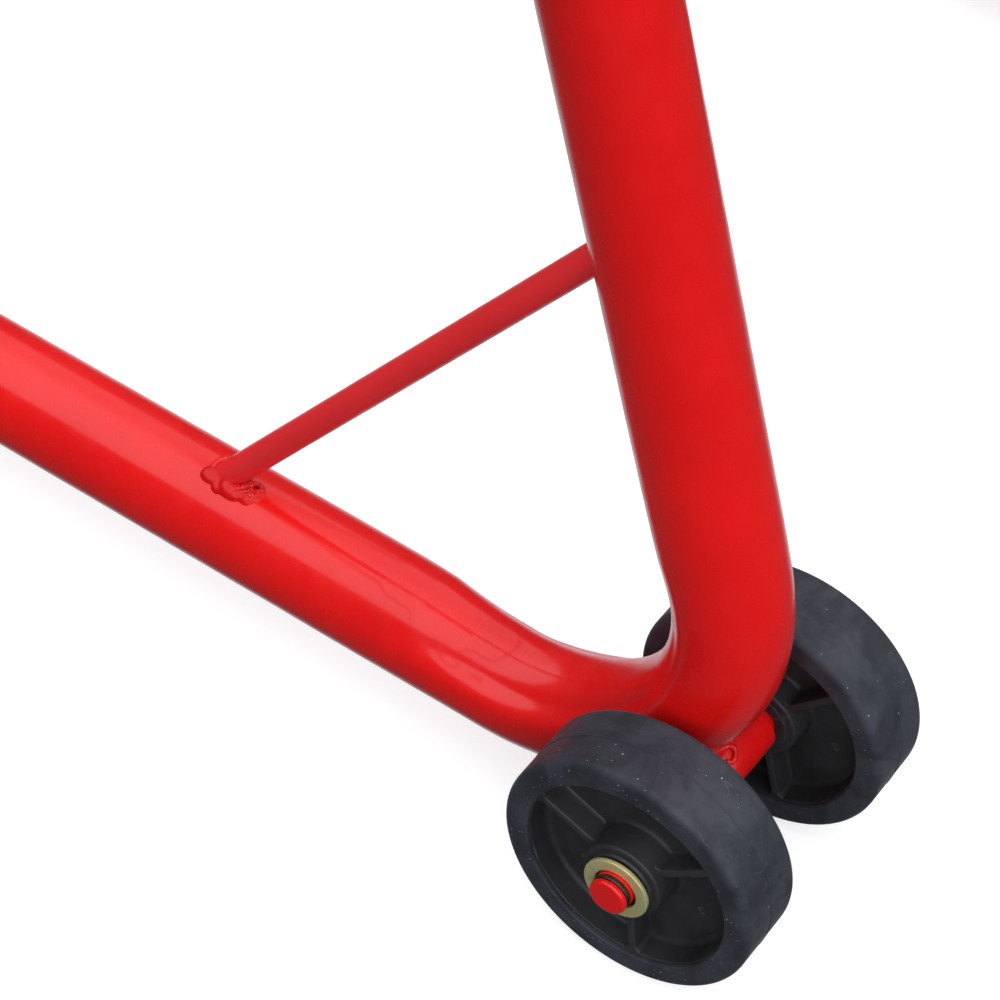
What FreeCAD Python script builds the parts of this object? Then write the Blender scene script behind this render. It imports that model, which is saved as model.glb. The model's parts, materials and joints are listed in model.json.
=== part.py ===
import FreeCAD, Part
import math
import os

# Rear paddock stand for a motorcycle: two bent side tubes on double wheels, a rear
# crossbar on rubber feet, a bolted-in handle hoop and two sliding swingarm cradles.
#
# Millimetres. +Z is up, +Y points to the handle at the rear, X is across the stand.
# The origin is on the floor, under the middle of the stand's box. "right" is the -X side,
# as seen by somebody who stands at the handle and looks forward along -Y.

Vector = FreeCAD.Vector
X_AXIS = Vector(1, 0, 0)
Y_AXIS = Vector(0, 1, 0)
Z_AXIS = Vector(0, 0, 1)

HEXAGON_SIDES = 6
HEXAGON_ROUND_OFF = 0.1     # of a hexagon's thickness, taken off its corner radius at the outer end
OVERLAP = 1.0               # how far a cutting or joined solid reaches past a face
TOLERANCE = 0.01            # for finding edges by their place

# Driving dimensions: the whole stand
OVERALL_LENGTH = 640.0
TRACK = 400.0               # between the middle planes of the two side tubes
TUBE_D = 35.0
TUBE_WALL = 2.0
LEG_ANGLE = 71.1            # degrees between the foot and the upright of a side tube
BEND_R = 66.3               # centreline radius of the corner bend
CORNER_AHEAD = 22.8         # the legs' axes meet this far ahead of the axle
FOOT_AXIS_Z = 30.0          # height of the foot's axis over the floor
UPRIGHT_LENGTH = 312.0      # from where the axes meet to the clamp sleeve's axis
FOOT_LENGTH = 482.8         # from where the axes meet to the foot's open rear end

# Brace rod between the two legs
BRACE_D = 8.8
BRACE_ON_FOOT = 206.4       # from where the axes meet, along the foot
BRACE_ON_UPRIGHT = 205.2

# Wheels and axles, with distances across measured from the side tube's middle plane
WHEEL_D = 80.0
WHEEL_WIDTH = 25.0
WHEEL_OFFSET = 35.0         # to the wheel's own middle plane
TYRE_SHOULDER_R = 2.5
TYRE_BED_R = 34.0
TYRE_LIP_R = 32.0
TYRE_LIP_THICKNESS = 1.5
BARREL_INNER_R = 31.4
WEB_THICKNESS = 6.8
HUB_R = 12.5
HUB_OUTWARD = 14.35         # hub length past the wheel's middle plane, away from the tube
HUB_INWARD = 12.9
HUB_CHAMFER = 0.8
RIB_COUNT = 3
RIB_THICKNESS = 3.0
RIB_HEIGHT = 11.0           # from the wheel's middle plane
RIB_PHASE = {"outer": 20.0, "inner": 12.0}   # degrees from +Y, turning towards +Z
AXLE_D = 12.0
AXLE_HALF_LENGTH = 56.1
AXLE_END_ROUND = 1.0
RUNNING_CLEARANCE = 0.05    # radial, for every running or sliding fit
AXLE_TUBE_D = 16.0
AXLE_TUBE_HALF_LENGTH = 21.5
AXLE_TUBE_ROUND = 1.3
AXLE_WASHER_D = 22.0
AXLE_WASHER_THICKNESS = 2.0
AXLE_WASHER_OFFSET = 49.6
RING_OFFSET = 53.5
RING_THICKNESS = 1.2
RING_D = 13.4
RING_GROOVE_D = 10.4
RING_GAP = 4.8

# Rear crossbar and rubber feet
CROSSBAR_D = 30.0
CROSSBAR_SETBACK = 45.0     # ahead of the foot tubes' rear ends
PAD_LENGTH = 44.0
PAD_WIDTH = 44.0
PAD_AHEAD = 45.0            # the pad's middle is this far ahead of the crossbar
PAD_ROUND = 3.0
PAD_CHAMFER = 1.0
PAD_SCREW_D = 6.0
PAD_SCREW_HEAD_D = 12.0
PAD_SCREW_HEAD = 3.6
PAD_SCREW_HEAD_ROUND = 1.0
PAD_SCREW_RECESS = 6.0
PAD_SCREW_CLEARANCE = 1.0   # radial, round the head
PAD_SCREW_LENGTH = 16.0
RIVET_NUT_D = 9.0
RIVET_NUT_FLANGE_D = 12.0
RIVET_NUT_FLANGE = 0.9
RIVET_NUT_DEPTH = 11.0

# Handle hoop, its grip and the two bolts that hold it in the foot tubes
HANDLE_INSERT = 60.0
HANDLE_WALL = 2.0
HANDLE_BEND_R = 60.0
HANDLE_RISE = 35.0          # degrees
HANDLE_STRAIGHT = 20.0      # level run behind the foot tube's end
GRIP_D = 38.0
GRIP_LENGTH = 250.0
GRIP_ROUND = 3.0
BOLT_D = 8.0
BOLT_HOLE_D = 8.4
BOLT_SETBACK = 14.0         # ahead of the foot tubes' rear ends
BOLT_HEAD_AF = 13.0
BOLT_HEAD = 5.3
BOLT_NUT = 6.8
BOLT_LENGTH = 50.0
BOLT_WASHER_D = 16.0
BOLT_WASHER = 1.6

# Clamp sleeve, clamp screw and knob on each upright
SLEEVE_D = 36.0
SLEEVE_LENGTH = 50.0
SLEEVE_CHAMFER = 1.0
CLAMP_SCREW_D = 10.0
CLAMP_NUT_AF = 17.0
CLAMP_NUT_END = 26.0        # from the sleeve's axis
CLAMP_NUT_INSET = 2.0       # its start, below the sleeve's outside
CLAMP_SHOE_LENGTH = 4.0
CLAMP_SHOE_GAP = 0.3
CLAMP_SCREW_GAP = 0.1
KNOB_START = 31.0
KNOB_D = 44.0
KNOB_HEIGHT = 18.0
KNOB_COLLAR_D = 20.0
KNOB_COLLAR = 3.0
KNOB_LOBES = 5
KNOB_SCALLOP_R = 10.0
KNOB_SCALLOP_AT = 27.5
KNOB_ROUND = 2.5
KNOB_SCREW_DEPTH = 14.0

# Sliding adapter bar; distances across measured from the stand's middle plane
BAR_D = 20.0
BAR_OUTER_END = 242.0
BAR_SHOULDER = 157.4
BAR_CHAMFER = 1.5
SPIGOT_D = 16.0
SPIGOT_END = 107.6
BAR_FLAT_DEPTH = 1.5
BAR_FLAT_MARGIN = 1.0       # past the clamp shoe at either end of the slide
SLIDE_IN = 30.0
SLIDE_OUT = 10.0

# Cradle that turns on the bar's spigot; heights measured from the bar's axis
CRADLE_HUB_D = 26.0
CRADLE_HUB_INNER = 108.0
CRADLE_HUB_OUTER = 157.0
CRADLE_UNDERSIDE = 12.0
CRADLE_PLATE = 5.0
CRADLE_INNER_EDGE = 105.0
CRADLE_OUTER_FACE = 160.0
CRADLE_WALL_TOP = 55.0
CRADLE_WIDTH = 60.0
CRADLE_BEND_R = 8.0         # outside of the plate's bend
CRADLE_CORNER_R = 10.0
CRADLE_PAD_MARGIN = 2.0
CRADLE_PAD = 6.0
CRADLE_PAD_CORNER_R = 4.0
CRADLE_SCREW_D = 5.0
CRADLE_SCREW_HEAD_D = 9.5
CRADLE_SCREW_HEAD = 2.6
CRADLE_SCREW_RECESS = 3.2
CRADLE_SCREW_CLEARANCE = 0.5    # radial, round the head
CRADLE_SCREW_TIP = 1.0      # past the nut
CRADLE_SCREW_SPACING = 40.0
CRADLE_SCREW_AT = 128.0
CRADLE_NUT_AF = 8.0
CRADLE_NUT = 4.0
END_WASHER_D = 22.0
END_WASHER = 2.0
END_SCREW_D = 8.0
END_SCREW_HEAD_D = 14.0
END_SCREW_HEAD = 4.4
END_SCREW_LENGTH = 22.0
END_SCREW_CROWN = ((1.0, 0.55), (0.6, 0.9), (0.2, 1.0))   # shares of the head's height and radius

# Sizes that follow from the driving dimensions
HALF_TRACK = TRACK / 2
TUBE_R = TUBE_D / 2
WHEEL_R = WHEEL_D / 2
AXLE_R = AXLE_D / 2
BRACE_R = BRACE_D / 2
HANDLE_D = TUBE_D - 2 * TUBE_WALL
AXLE_Y = WHEEL_R - OVERALL_LENGTH / 2
CORNER_Y = AXLE_Y - CORNER_AHEAD
FOOT_END_Y = CORNER_Y + FOOT_LENGTH
CROSSBAR_Y = FOOT_END_Y - CROSSBAR_SETBACK
PAD_Y = CROSSBAR_Y - PAD_AHEAD
BOLT_Y = FOOT_END_Y - BOLT_SETBACK
TUBE_UNDERSIDE_Z = FOOT_AXIS_Z - TUBE_R
LEG_RADIANS = math.radians(LEG_ANGLE)
UPRIGHT_RUN = math.cos(LEG_RADIANS)
UPRIGHT_CLIMB = math.sin(LEG_RADIANS)
SLEEVE_Y = CORNER_Y + UPRIGHT_LENGTH * UPRIGHT_RUN
SLEEVE_Z = FOOT_AXIS_Z + UPRIGHT_LENGTH * UPRIGHT_CLIMB
GRIP_Y = OVERALL_LENGTH / 2 - GRIP_D / 2

SIDES = {"right": -1, "left": 1}


def on_side(shape, side):
    """A shape drawn on the left (+X), or its mirror image on the right."""
    if SIDES[side] > 0:
        return shape
    return shape.mirror(Vector(0, 0, 0), X_AXIS)


def rod(start, end, radius):
    """A round bar from one point to another."""
    run = end - start
    return Part.makeCylinder(radius, run.Length, start, run)


def across(x_start, x_end, y, z, radius):
    """A round bar along X."""
    return rod(Vector(x_start, y, z), Vector(x_end, y, z), radius)


def elbow(start, along, corner_turn, turn_axis, bend_radius, radius):
    """A round bar bent about turn_axis: part of a torus."""
    section = Part.Face(Part.Wire(Part.makeCircle(radius, start, along)))
    centre = start + turn_axis.cross(along) * bend_radius
    return section.revolve(centre, turn_axis, corner_turn)


def bent_rod(corners, bend_radius, radius):
    """A round bar along straight runs joined by equal bends at the inner corners."""
    pieces = []
    start = corners[0]
    for before, corner, after in zip(corners, corners[1:], corners[2:]):
        incoming = (corner - before).normalize()
        outgoing = (after - corner).normalize()
        turn = incoming.getAngle(outgoing)
        setback = bend_radius * math.tan(turn / 2)
        bend_start = corner - incoming * setback
        turn_axis = incoming.cross(outgoing).normalize()
        pieces.append(rod(start, bend_start, radius))
        pieces.append(elbow(bend_start, incoming, math.degrees(turn), turn_axis, bend_radius, radius))
        start = corner + outgoing * setback
    pieces.append(rod(start, corners[-1], radius))
    return pieces[0].multiFuse(pieces[1:]).removeSplitter()


def turned(profile):
    """A body of revolution about the X axis from (x, radius) points."""
    points = [Vector(x, r, 0) for x, r in profile]
    face = Part.Face(Part.makePolygon(points + points[:1]))
    return face.revolve(Vector(0, 0, 0), X_AXIS, 360)


def ring(x_start, x_end, inner_radius, outer_radius):
    """A plain ring about the X axis."""
    profile = [(x_start, inner_radius), (x_end, inner_radius), (x_end, outer_radius), (x_start, outer_radius)]
    return turned(profile)


def hexagon(across_flats, thickness, centre, along):
    """A hexagonal prism that starts at centre and grows along a direction."""
    corner_radius = across_flats / math.sqrt(3)
    angles = [2 * math.pi * number / HEXAGON_SIDES for number in range(HEXAGON_SIDES + 1)]
    points = [Vector(corner_radius * math.cos(a), corner_radius * math.sin(a), 0) for a in angles]
    prism = Part.Face(Part.makePolygon(points)).extrude(Vector(0, 0, thickness))
    end_radius = corner_radius - thickness * HEXAGON_ROUND_OFF
    round_off = Part.makeCone(corner_radius + thickness, end_radius, thickness)
    prism = prism.common(round_off)
    prism.Placement = FreeCAD.Placement(centre, FreeCAD.Rotation(Z_AXIS, along))
    return prism


def at_axle(shape, side):
    """Moves a shape drawn about the origin to a side's axle."""
    shape.translate(Vector(SIDES[side] * HALF_TRACK, AXLE_Y, WHEEL_R))
    return shape


def upright_point(distance, x):
    """A point on an upright's axis, counted from where the legs' axes meet."""
    return Vector(x, CORNER_Y + distance * UPRIGHT_RUN, FOOT_AXIS_Z + distance * UPRIGHT_CLIMB)


def foot_point(distance, x):
    """A point on a foot's axis, counted from where the legs' axes meet."""
    return Vector(x, CORNER_Y + distance, FOOT_AXIS_Z)


def side_tube_solid(radius):
    corners = [upright_point(UPRIGHT_LENGTH, HALF_TRACK), foot_point(0, HALF_TRACK),
               foot_point(FOOT_LENGTH, HALF_TRACK)]
    return bent_rod(corners, BEND_R, radius)


def sleeve_envelope():
    half = SLEEVE_LENGTH / 2
    return across(HALF_TRACK - half, HALF_TRACK + half, SLEEVE_Y, SLEEVE_Z, SLEEVE_D / 2)


def side_tube(side):
    """Upright, corner bend and foot in one hollow tube, coped under the clamp sleeve."""
    tube = side_tube_solid(TUBE_R).cut(side_tube_solid(TUBE_R - TUBE_WALL))
    tube = tube.cut(sleeve_envelope())
    notch = across(HALF_TRACK - TUBE_D, HALF_TRACK + TUBE_D, AXLE_Y, WHEEL_R, AXLE_TUBE_D / 2)
    bolt_hole = across(HALF_TRACK - TUBE_D, HALF_TRACK + TUBE_D, BOLT_Y, FOOT_AXIS_Z, BOLT_HOLE_D / 2)
    nut_hole = rod(Vector(HALF_TRACK, PAD_Y, 0), Vector(HALF_TRACK, PAD_Y, FOOT_AXIS_Z), RIVET_NUT_D / 2)
    return on_side(tube.cut(notch).cut(bolt_hole).cut(nut_hole), side)


def brace_rod(side):
    """Round bar across the corner, coped onto both legs."""
    bar = rod(foot_point(BRACE_ON_FOOT, HALF_TRACK), upright_point(BRACE_ON_UPRIGHT, HALF_TRACK), BRACE_R)
    return on_side(bar.cut(side_tube_solid(TUBE_R)), side)


def axle_tube(side):
    """Short tube welded into the outside of the bend; the axle passes through it."""
    half = AXLE_TUBE_HALF_LENGTH
    outer = AXLE_TUBE_D / 2
    inset = AXLE_TUBE_ROUND
    profile = [(-half, AXLE_R), (half, AXLE_R), (half, outer - inset), (half - inset, outer),
               (inset - half, outer), (-half, outer - inset)]
    return at_axle(turned(profile), side)


def axle(side):
    """Axle bar with rounded ends and a groove near each end."""
    half = AXLE_HALF_LENGTH
    bar = rod(Vector(-half, 0, 0), Vector(half, 0, 0), AXLE_R)
    rims = [edge for edge in bar.Edges if edge.Closed]
    bar = bar.makeFillet(AXLE_END_ROUND, rims)
    for start in (RING_OFFSET, -RING_OFFSET - RING_THICKNESS):
        bar = bar.cut(ring(start, start + RING_THICKNESS, RING_GROOVE_D / 2, AXLE_R + OVERLAP))
    return at_axle(bar, side)


def axle_washers(side):
    """Two plain washers, one outside each wheel."""
    end = AXLE_WASHER_OFFSET + AXLE_WASHER_THICKNESS
    washer = ring(AXLE_WASHER_OFFSET, end, AXLE_R, AXLE_WASHER_D / 2)
    other = washer.mirror(Vector(0, 0, 0), X_AXIS)
    return at_axle(Part.makeCompound([washer, other]), side)


def axle_rings(side):
    """Two retaining rings in the axle's grooves, each with a gap at the bottom."""
    clip = ring(RING_OFFSET, RING_OFFSET + RING_THICKNESS, RING_GROOVE_D / 2, RING_D / 2)
    gap_corner = Vector(RING_OFFSET - OVERLAP, -RING_GAP / 2, -RING_D)
    gap = Part.makeBox(AXLE_HALF_LENGTH, RING_GAP, RING_D, gap_corner)
    clip = clip.cut(gap)
    other = clip.mirror(Vector(0, 0, 0), X_AXIS)
    return at_axle(Part.makeCompound([clip, other]), side)


def place_wheel(shape, side, place):
    """Moves a wheel part drawn with its outward face to +X to its place on the axle."""
    away = 1 if place == "outer" else -1
    if away * SIDES[side] < 0:
        shape = shape.mirror(Vector(0, 0, 0), X_AXIS)
    shape.translate(Vector(away * SIDES[side] * WHEEL_OFFSET, 0, 0))
    return at_axle(shape, side)


def rim(side, place):
    """Moulded rim: barrel, web, hub and ribs on both faces."""
    barrel_half = WHEEL_WIDTH / 2 - TYRE_LIP_THICKNESS
    web_half = WEB_THICKNESS / 2
    bore = AXLE_R + RUNNING_CLEARANCE
    profile = [(-HUB_INWARD, bore), (HUB_OUTWARD, bore), (HUB_OUTWARD, HUB_R - HUB_CHAMFER),
               (HUB_OUTWARD - HUB_CHAMFER, HUB_R), (web_half, HUB_R), (web_half, BARREL_INNER_R),
               (barrel_half, BARREL_INNER_R), (barrel_half, TYRE_BED_R), (-barrel_half, TYRE_BED_R),
               (-barrel_half, BARREL_INNER_R), (-web_half, BARREL_INNER_R), (-web_half, HUB_R),
               (HUB_CHAMFER - HUB_INWARD, HUB_R), (-HUB_INWARD, HUB_R - HUB_CHAMFER)]
    rib_inner_r = HUB_R - HUB_CHAMFER * 2
    rib_length = BARREL_INNER_R + (TYRE_BED_R - BARREL_INNER_R) / 2 - rib_inner_r
    ribs = []
    for number in range(RIB_COUNT):
        rib = Part.makeBox(2 * RIB_HEIGHT, rib_length, RIB_THICKNESS,
                           Vector(-RIB_HEIGHT, rib_inner_r, -RIB_THICKNESS / 2))
        rib.rotate(Vector(0, 0, 0), X_AXIS, RIB_PHASE[place] + 360 / RIB_COUNT * number)
        ribs.append(rib)
    body = turned(profile).multiFuse(ribs).removeSplitter()
    return place_wheel(body, side, place)


def tyre(side, place):
    """Solid rubber tyre with rounded shoulders and a lip over each edge of the rim."""
    half = WHEEL_WIDTH / 2
    bed_half = half - TYRE_LIP_THICKNESS
    profile = [(-half, TYRE_LIP_R), (-bed_half, TYRE_LIP_R), (-bed_half, TYRE_BED_R), (bed_half, TYRE_BED_R),
               (bed_half, TYRE_LIP_R), (half, TYRE_LIP_R), (half, WHEEL_R), (-half, WHEEL_R)]
    body = turned(profile)
    shoulders = [edge for edge in body.Edges if edge.Closed and abs(edge.BoundBox.YMax - WHEEL_R) < TOLERANCE]
    return place_wheel(body.makeFillet(TYRE_SHOULDER_R, shoulders), side, place)


def crossbar():
    """Tube between the two feet, coped onto their inner sides."""
    tube = across(-HALF_TRACK, HALF_TRACK, CROSSBAR_Y, FOOT_AXIS_Z, CROSSBAR_D / 2)
    tube = tube.cut(across(-HALF_TRACK, HALF_TRACK, CROSSBAR_Y, FOOT_AXIS_Z, CROSSBAR_D / 2 - TUBE_WALL))
    for x in (-HALF_TRACK, HALF_TRACK):
        tube = tube.cut(rod(foot_point(BEND_R, x), foot_point(FOOT_LENGTH, x), TUBE_R))
    return tube


def foot_pad(side):
    """Rubber saddle under a foot tube, flat underneath, with a recess for its screw."""
    corner = Vector(HALF_TRACK - PAD_WIDTH / 2, PAD_Y - PAD_LENGTH / 2, 0)
    block = Part.makeBox(PAD_WIDTH, PAD_LENGTH, FOOT_AXIS_Z, corner)
    uprights = [edge for edge in block.Edges if edge.BoundBox.ZLength > PAD_ROUND]
    block = block.makeFillet(PAD_ROUND, uprights)
    top_edges = [edge for edge in block.Edges if edge.BoundBox.ZMin > FOOT_AXIS_Z - TOLERANCE]
    block = block.makeChamfer(PAD_CHAMFER, top_edges)
    block = block.cut(rod(foot_point(BEND_R, HALF_TRACK), foot_point(FOOT_LENGTH, HALF_TRACK), TUBE_R))
    middle = Vector(HALF_TRACK, PAD_Y, 0)
    recess = rod(middle, middle + Z_AXIS * PAD_SCREW_RECESS, PAD_SCREW_HEAD_D / 2 + PAD_SCREW_CLEARANCE)
    hole = rod(middle, middle + Z_AXIS * FOOT_AXIS_Z, PAD_SCREW_D / 2)
    seat = rod(middle + Z_AXIS * (TUBE_UNDERSIDE_Z - RIVET_NUT_FLANGE), middle + Z_AXIS * FOOT_AXIS_Z,
               RIVET_NUT_FLANGE_D / 2)
    return on_side(block.cut(recess).cut(hole).cut(seat), side)


def foot_screws():
    """Pan-head screws, one up through each pad."""
    screws = []
    for x in (-HALF_TRACK, HALF_TRACK):
        seat = Vector(x, PAD_Y, PAD_SCREW_RECESS)
        head = rod(seat - Z_AXIS * PAD_SCREW_HEAD, seat, PAD_SCREW_HEAD_D / 2)
        lower_rim = [edge for edge in head.Edges if edge.BoundBox.ZMax < seat.z - TOLERANCE]
        head = head.makeFillet(PAD_SCREW_HEAD_ROUND, lower_rim)
        shank = rod(seat, seat + Z_AXIS * PAD_SCREW_LENGTH, PAD_SCREW_D / 2)
        screws.append(head.fuse(shank).removeSplitter())
    return Part.makeCompound(screws)


def foot_rivet_nuts():
    """Threaded rivet nuts set in the foot tubes' undersides for the pad screws."""
    nuts = []
    for x in (-HALF_TRACK, HALF_TRACK):
        underside = Vector(x, PAD_Y, TUBE_UNDERSIDE_Z)
        flange = rod(underside - Z_AXIS * RIVET_NUT_FLANGE, underside, RIVET_NUT_FLANGE_D / 2)
        barrel = rod(underside, underside + Z_AXIS * RIVET_NUT_DEPTH, RIVET_NUT_D / 2)
        bore_start = underside - Z_AXIS * (RIVET_NUT_FLANGE + OVERLAP)
        bore = rod(bore_start, underside + Z_AXIS * (RIVET_NUT_DEPTH + OVERLAP), PAD_SCREW_D / 2)
        nuts.append(flange.fuse(barrel).cut(bore).removeSplitter())
    return Part.makeCompound(nuts)


def handle_corners():
    """The hoop's corner points from the right foot tube round to the left one."""
    rise = math.radians(HANDLE_RISE)
    kink_y = FOOT_END_Y + HANDLE_STRAIGHT + HANDLE_BEND_R * math.tan(rise / 2)
    grip_z = FOOT_AXIS_Z + (GRIP_Y - kink_y) * math.tan(rise)
    half_hoop = [Vector(HALF_TRACK, FOOT_END_Y - HANDLE_INSERT, FOOT_AXIS_Z),
                 Vector(HALF_TRACK, kink_y, FOOT_AXIS_Z), Vector(HALF_TRACK, GRIP_Y, grip_z)]
    other_half = [Vector(-p.x, p.y, p.z) for p in half_hoop]
    return other_half + half_hoop[::-1]


def handle_hoop():
    """U-shaped tube whose ends push into the foot tubes and whose rear rises for the hand."""
    corners = handle_corners()
    tube = bent_rod(corners, HANDLE_BEND_R, HANDLE_D / 2)
    tube = tube.cut(bent_rod(corners, HANDLE_BEND_R, HANDLE_D / 2 - HANDLE_WALL))
    return tube.cut(across(-TRACK, TRACK, BOLT_Y, FOOT_AXIS_Z, BOLT_HOLE_D / 2))


def handle_grip():
    """Rubber sleeve over the straight rear of the hoop."""
    half = GRIP_LENGTH / 2
    outer = GRIP_D / 2
    inner = HANDLE_D / 2
    profile = [(-half, inner), (half, inner), (half, outer - GRIP_ROUND), (half - GRIP_ROUND, outer),
               (GRIP_ROUND - half, outer), (-half, outer - GRIP_ROUND)]
    grip = turned(profile)
    grip.translate(Vector(0, GRIP_Y, handle_corners()[2].z))
    return grip


def handle_bolts():
    """Hexagon bolts from outside, one through each joint of hoop and foot tube."""
    seat = HALF_TRACK + TUBE_R + BOLT_WASHER
    bolts = []
    for side in SIDES:
        head = hexagon(BOLT_HEAD_AF, BOLT_HEAD, Vector(seat, BOLT_Y, FOOT_AXIS_Z), X_AXIS)
        shank = across(seat - BOLT_LENGTH, seat, BOLT_Y, FOOT_AXIS_Z, BOLT_D / 2)
        bolts.append(on_side(head.fuse(shank).removeSplitter(), side))
    return Part.makeCompound(bolts)


def handle_nuts():
    """Locking nuts on the inner ends of the handle bolts."""
    seat = HALF_TRACK - TUBE_R - BOLT_WASHER
    nuts = []
    for side in SIDES:
        nut = hexagon(BOLT_HEAD_AF, BOLT_NUT, Vector(seat, BOLT_Y, FOOT_AXIS_Z), -X_AXIS)
        nuts.append(on_side(nut.cut(across(0, HALF_TRACK, BOLT_Y, FOOT_AXIS_Z, BOLT_D / 2)), side))
    return Part.makeCompound(nuts)


def handle_washers():
    """Plain washers under the heads and nuts of the handle bolts."""
    washers = []
    for side in SIDES:
        for start in (HALF_TRACK + TUBE_R, HALF_TRACK - TUBE_R - BOLT_WASHER):
            washer = ring(start, start + BOLT_WASHER, BOLT_D / 2, BOLT_WASHER_D / 2)
            washer.translate(Vector(0, BOLT_Y, FOOT_AXIS_Z))
            washers.append(on_side(washer, side))
    return Part.makeCompound(washers)


def behind_sleeve(distance):
    """A point on the left clamp screw's axis, counted rearwards from the sleeve's axis."""
    return Vector(HALF_TRACK, SLEEVE_Y + distance, SLEEVE_Z)


def clamp_sleeve(side):
    """Thick bush across the top of an upright, bored for the adapter bar."""
    envelope = sleeve_envelope()
    rims = [edge for edge in envelope.Edges if edge.Closed]
    body = envelope.makeChamfer(SLEEVE_CHAMFER, rims)
    body = body.cut(across(0, TRACK, SLEEVE_Y, SLEEVE_Z, BAR_D / 2 + RUNNING_CLEARANCE))
    screw_hole = rod(behind_sleeve(0), behind_sleeve(SLEEVE_D), CLAMP_SCREW_D / 2 + RUNNING_CLEARANCE)
    return on_side(body.cut(screw_hole), side)


def clamp_nut(side):
    """Hexagonal nut welded on the sleeve's rear."""
    start = SLEEVE_D / 2 - CLAMP_NUT_INSET
    nut = hexagon(CLAMP_NUT_AF, CLAMP_NUT_END - start, behind_sleeve(start), Y_AXIS)
    nut = nut.cut(sleeve_envelope())
    bore = rod(behind_sleeve(0), behind_sleeve(SLEEVE_D), CLAMP_SCREW_D / 2 + RUNNING_CLEARANCE)
    return on_side(nut.cut(bore), side)


def shoe_start():
    return BAR_D / 2 - BAR_FLAT_DEPTH + CLAMP_SHOE_GAP


def clamp_shoe(side):
    """Brass pressure pad ahead of the clamp screw, facing the flat on the bar."""
    start = shoe_start()
    end = start + CLAMP_SHOE_LENGTH
    return on_side(rod(behind_sleeve(start), behind_sleeve(end), CLAMP_SCREW_D / 2), side)


def clamp_screw(side):
    """Screw through the welded nut, moulded into the knob."""
    start = shoe_start() + CLAMP_SHOE_LENGTH + CLAMP_SCREW_GAP
    end = KNOB_START + KNOB_SCREW_DEPTH
    return on_side(rod(behind_sleeve(start), behind_sleeve(end), CLAMP_SCREW_D / 2), side)


def clamp_knob(side):
    """Star knob with rounded lobes."""
    body = rod(behind_sleeve(KNOB_START), behind_sleeve(KNOB_START + KNOB_HEIGHT), KNOB_D / 2)
    for number in range(KNOB_LOBES):
        angle = 2 * math.pi * number / KNOB_LOBES
        offset = Vector(math.cos(angle), 0, math.sin(angle)) * KNOB_SCALLOP_AT
        body = body.cut(rod(behind_sleeve(0) + offset, behind_sleeve(TRACK) + offset, KNOB_SCALLOP_R))
    front = behind_sleeve(KNOB_START).y
    back = behind_sleeve(KNOB_START + KNOB_HEIGHT).y
    rims = [edge for edge in body.Edges
            if edge.BoundBox.YLength < TOLERANCE
            and min(abs(edge.CenterOfMass.y - y) for y in (front, back)) < TOLERANCE]
    body = body.makeFillet(KNOB_ROUND, rims)
    collar_start = behind_sleeve(KNOB_START - KNOB_COLLAR)
    collar = rod(collar_start, behind_sleeve(KNOB_START + OVERLAP), KNOB_COLLAR_D / 2)
    screw = rod(behind_sleeve(0), behind_sleeve(KNOB_START + KNOB_SCREW_DEPTH), CLAMP_SCREW_D / 2)
    return on_side(body.fuse(collar).removeSplitter().cut(screw), side)


def at_bar(shape):
    """Moves a shape drawn about the X axis to the bar's axis."""
    shape.translate(Vector(0, SLEEVE_Y, SLEEVE_Z))
    return shape


def adapter_bar(side):
    """Sliding bar with a spigot for the cradle and a flat for the clamp shoe."""
    bar_r = BAR_D / 2
    spigot_r = SPIGOT_D / 2
    tapped_r = END_SCREW_D / 2
    tapped_end = SPIGOT_END + END_SCREW_LENGTH
    profile = [(SPIGOT_END, tapped_r), (SPIGOT_END, spigot_r), (BAR_SHOULDER, spigot_r),
               (BAR_SHOULDER, bar_r), (BAR_OUTER_END - BAR_CHAMFER, bar_r),
               (BAR_OUTER_END, bar_r - BAR_CHAMFER), (BAR_OUTER_END, 0), (tapped_end, 0),
               (tapped_end, tapped_r)]
    bar = turned(profile)
    reach = CLAMP_SCREW_D / 2 + BAR_FLAT_MARGIN
    flat_start = HALF_TRACK - SLIDE_OUT - reach
    flat_end = HALF_TRACK + SLIDE_IN + reach
    flat = Part.makeBox(flat_end - flat_start, bar_r, BAR_D,
                        Vector(flat_start, bar_r - BAR_FLAT_DEPTH, -bar_r))
    return on_side(at_bar(bar.cut(flat)), side)


def end_washer(side):
    """Washer that keeps the cradle on the spigot."""
    washer = ring(SPIGOT_END - END_WASHER, SPIGOT_END, END_SCREW_D / 2, END_WASHER_D / 2)
    return on_side(at_bar(washer), side)


def end_screw(side):
    """Button-head screw in the end of the spigot."""
    seat = SPIGOT_END - END_WASHER
    head_r = END_SCREW_HEAD_D / 2
    shank_r = END_SCREW_D / 2
    crown = [(seat - END_SCREW_HEAD * height, head_r * share) for height, share in END_SCREW_CROWN]
    profile = [(seat - END_SCREW_HEAD, 0)] + crown + [(seat, head_r), (seat, shank_r),
                                                      (seat + END_SCREW_LENGTH, shank_r),
                                                      (seat + END_SCREW_LENGTH, 0)]
    return on_side(at_bar(turned(profile)), side)


def cradle_hub(side):
    """Tube that turns on the spigot, flattened where the plate is welded on."""
    hub = ring(CRADLE_HUB_INNER, CRADLE_HUB_OUTER, SPIGOT_D / 2 + RUNNING_CLEARANCE, CRADLE_HUB_D / 2)
    flat = Part.makeBox(TRACK, CRADLE_WIDTH, CRADLE_HUB_D, Vector(0, -CRADLE_WIDTH / 2, CRADLE_UNDERSIDE))
    return on_side(at_bar(hub.cut(flat)), side)


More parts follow.
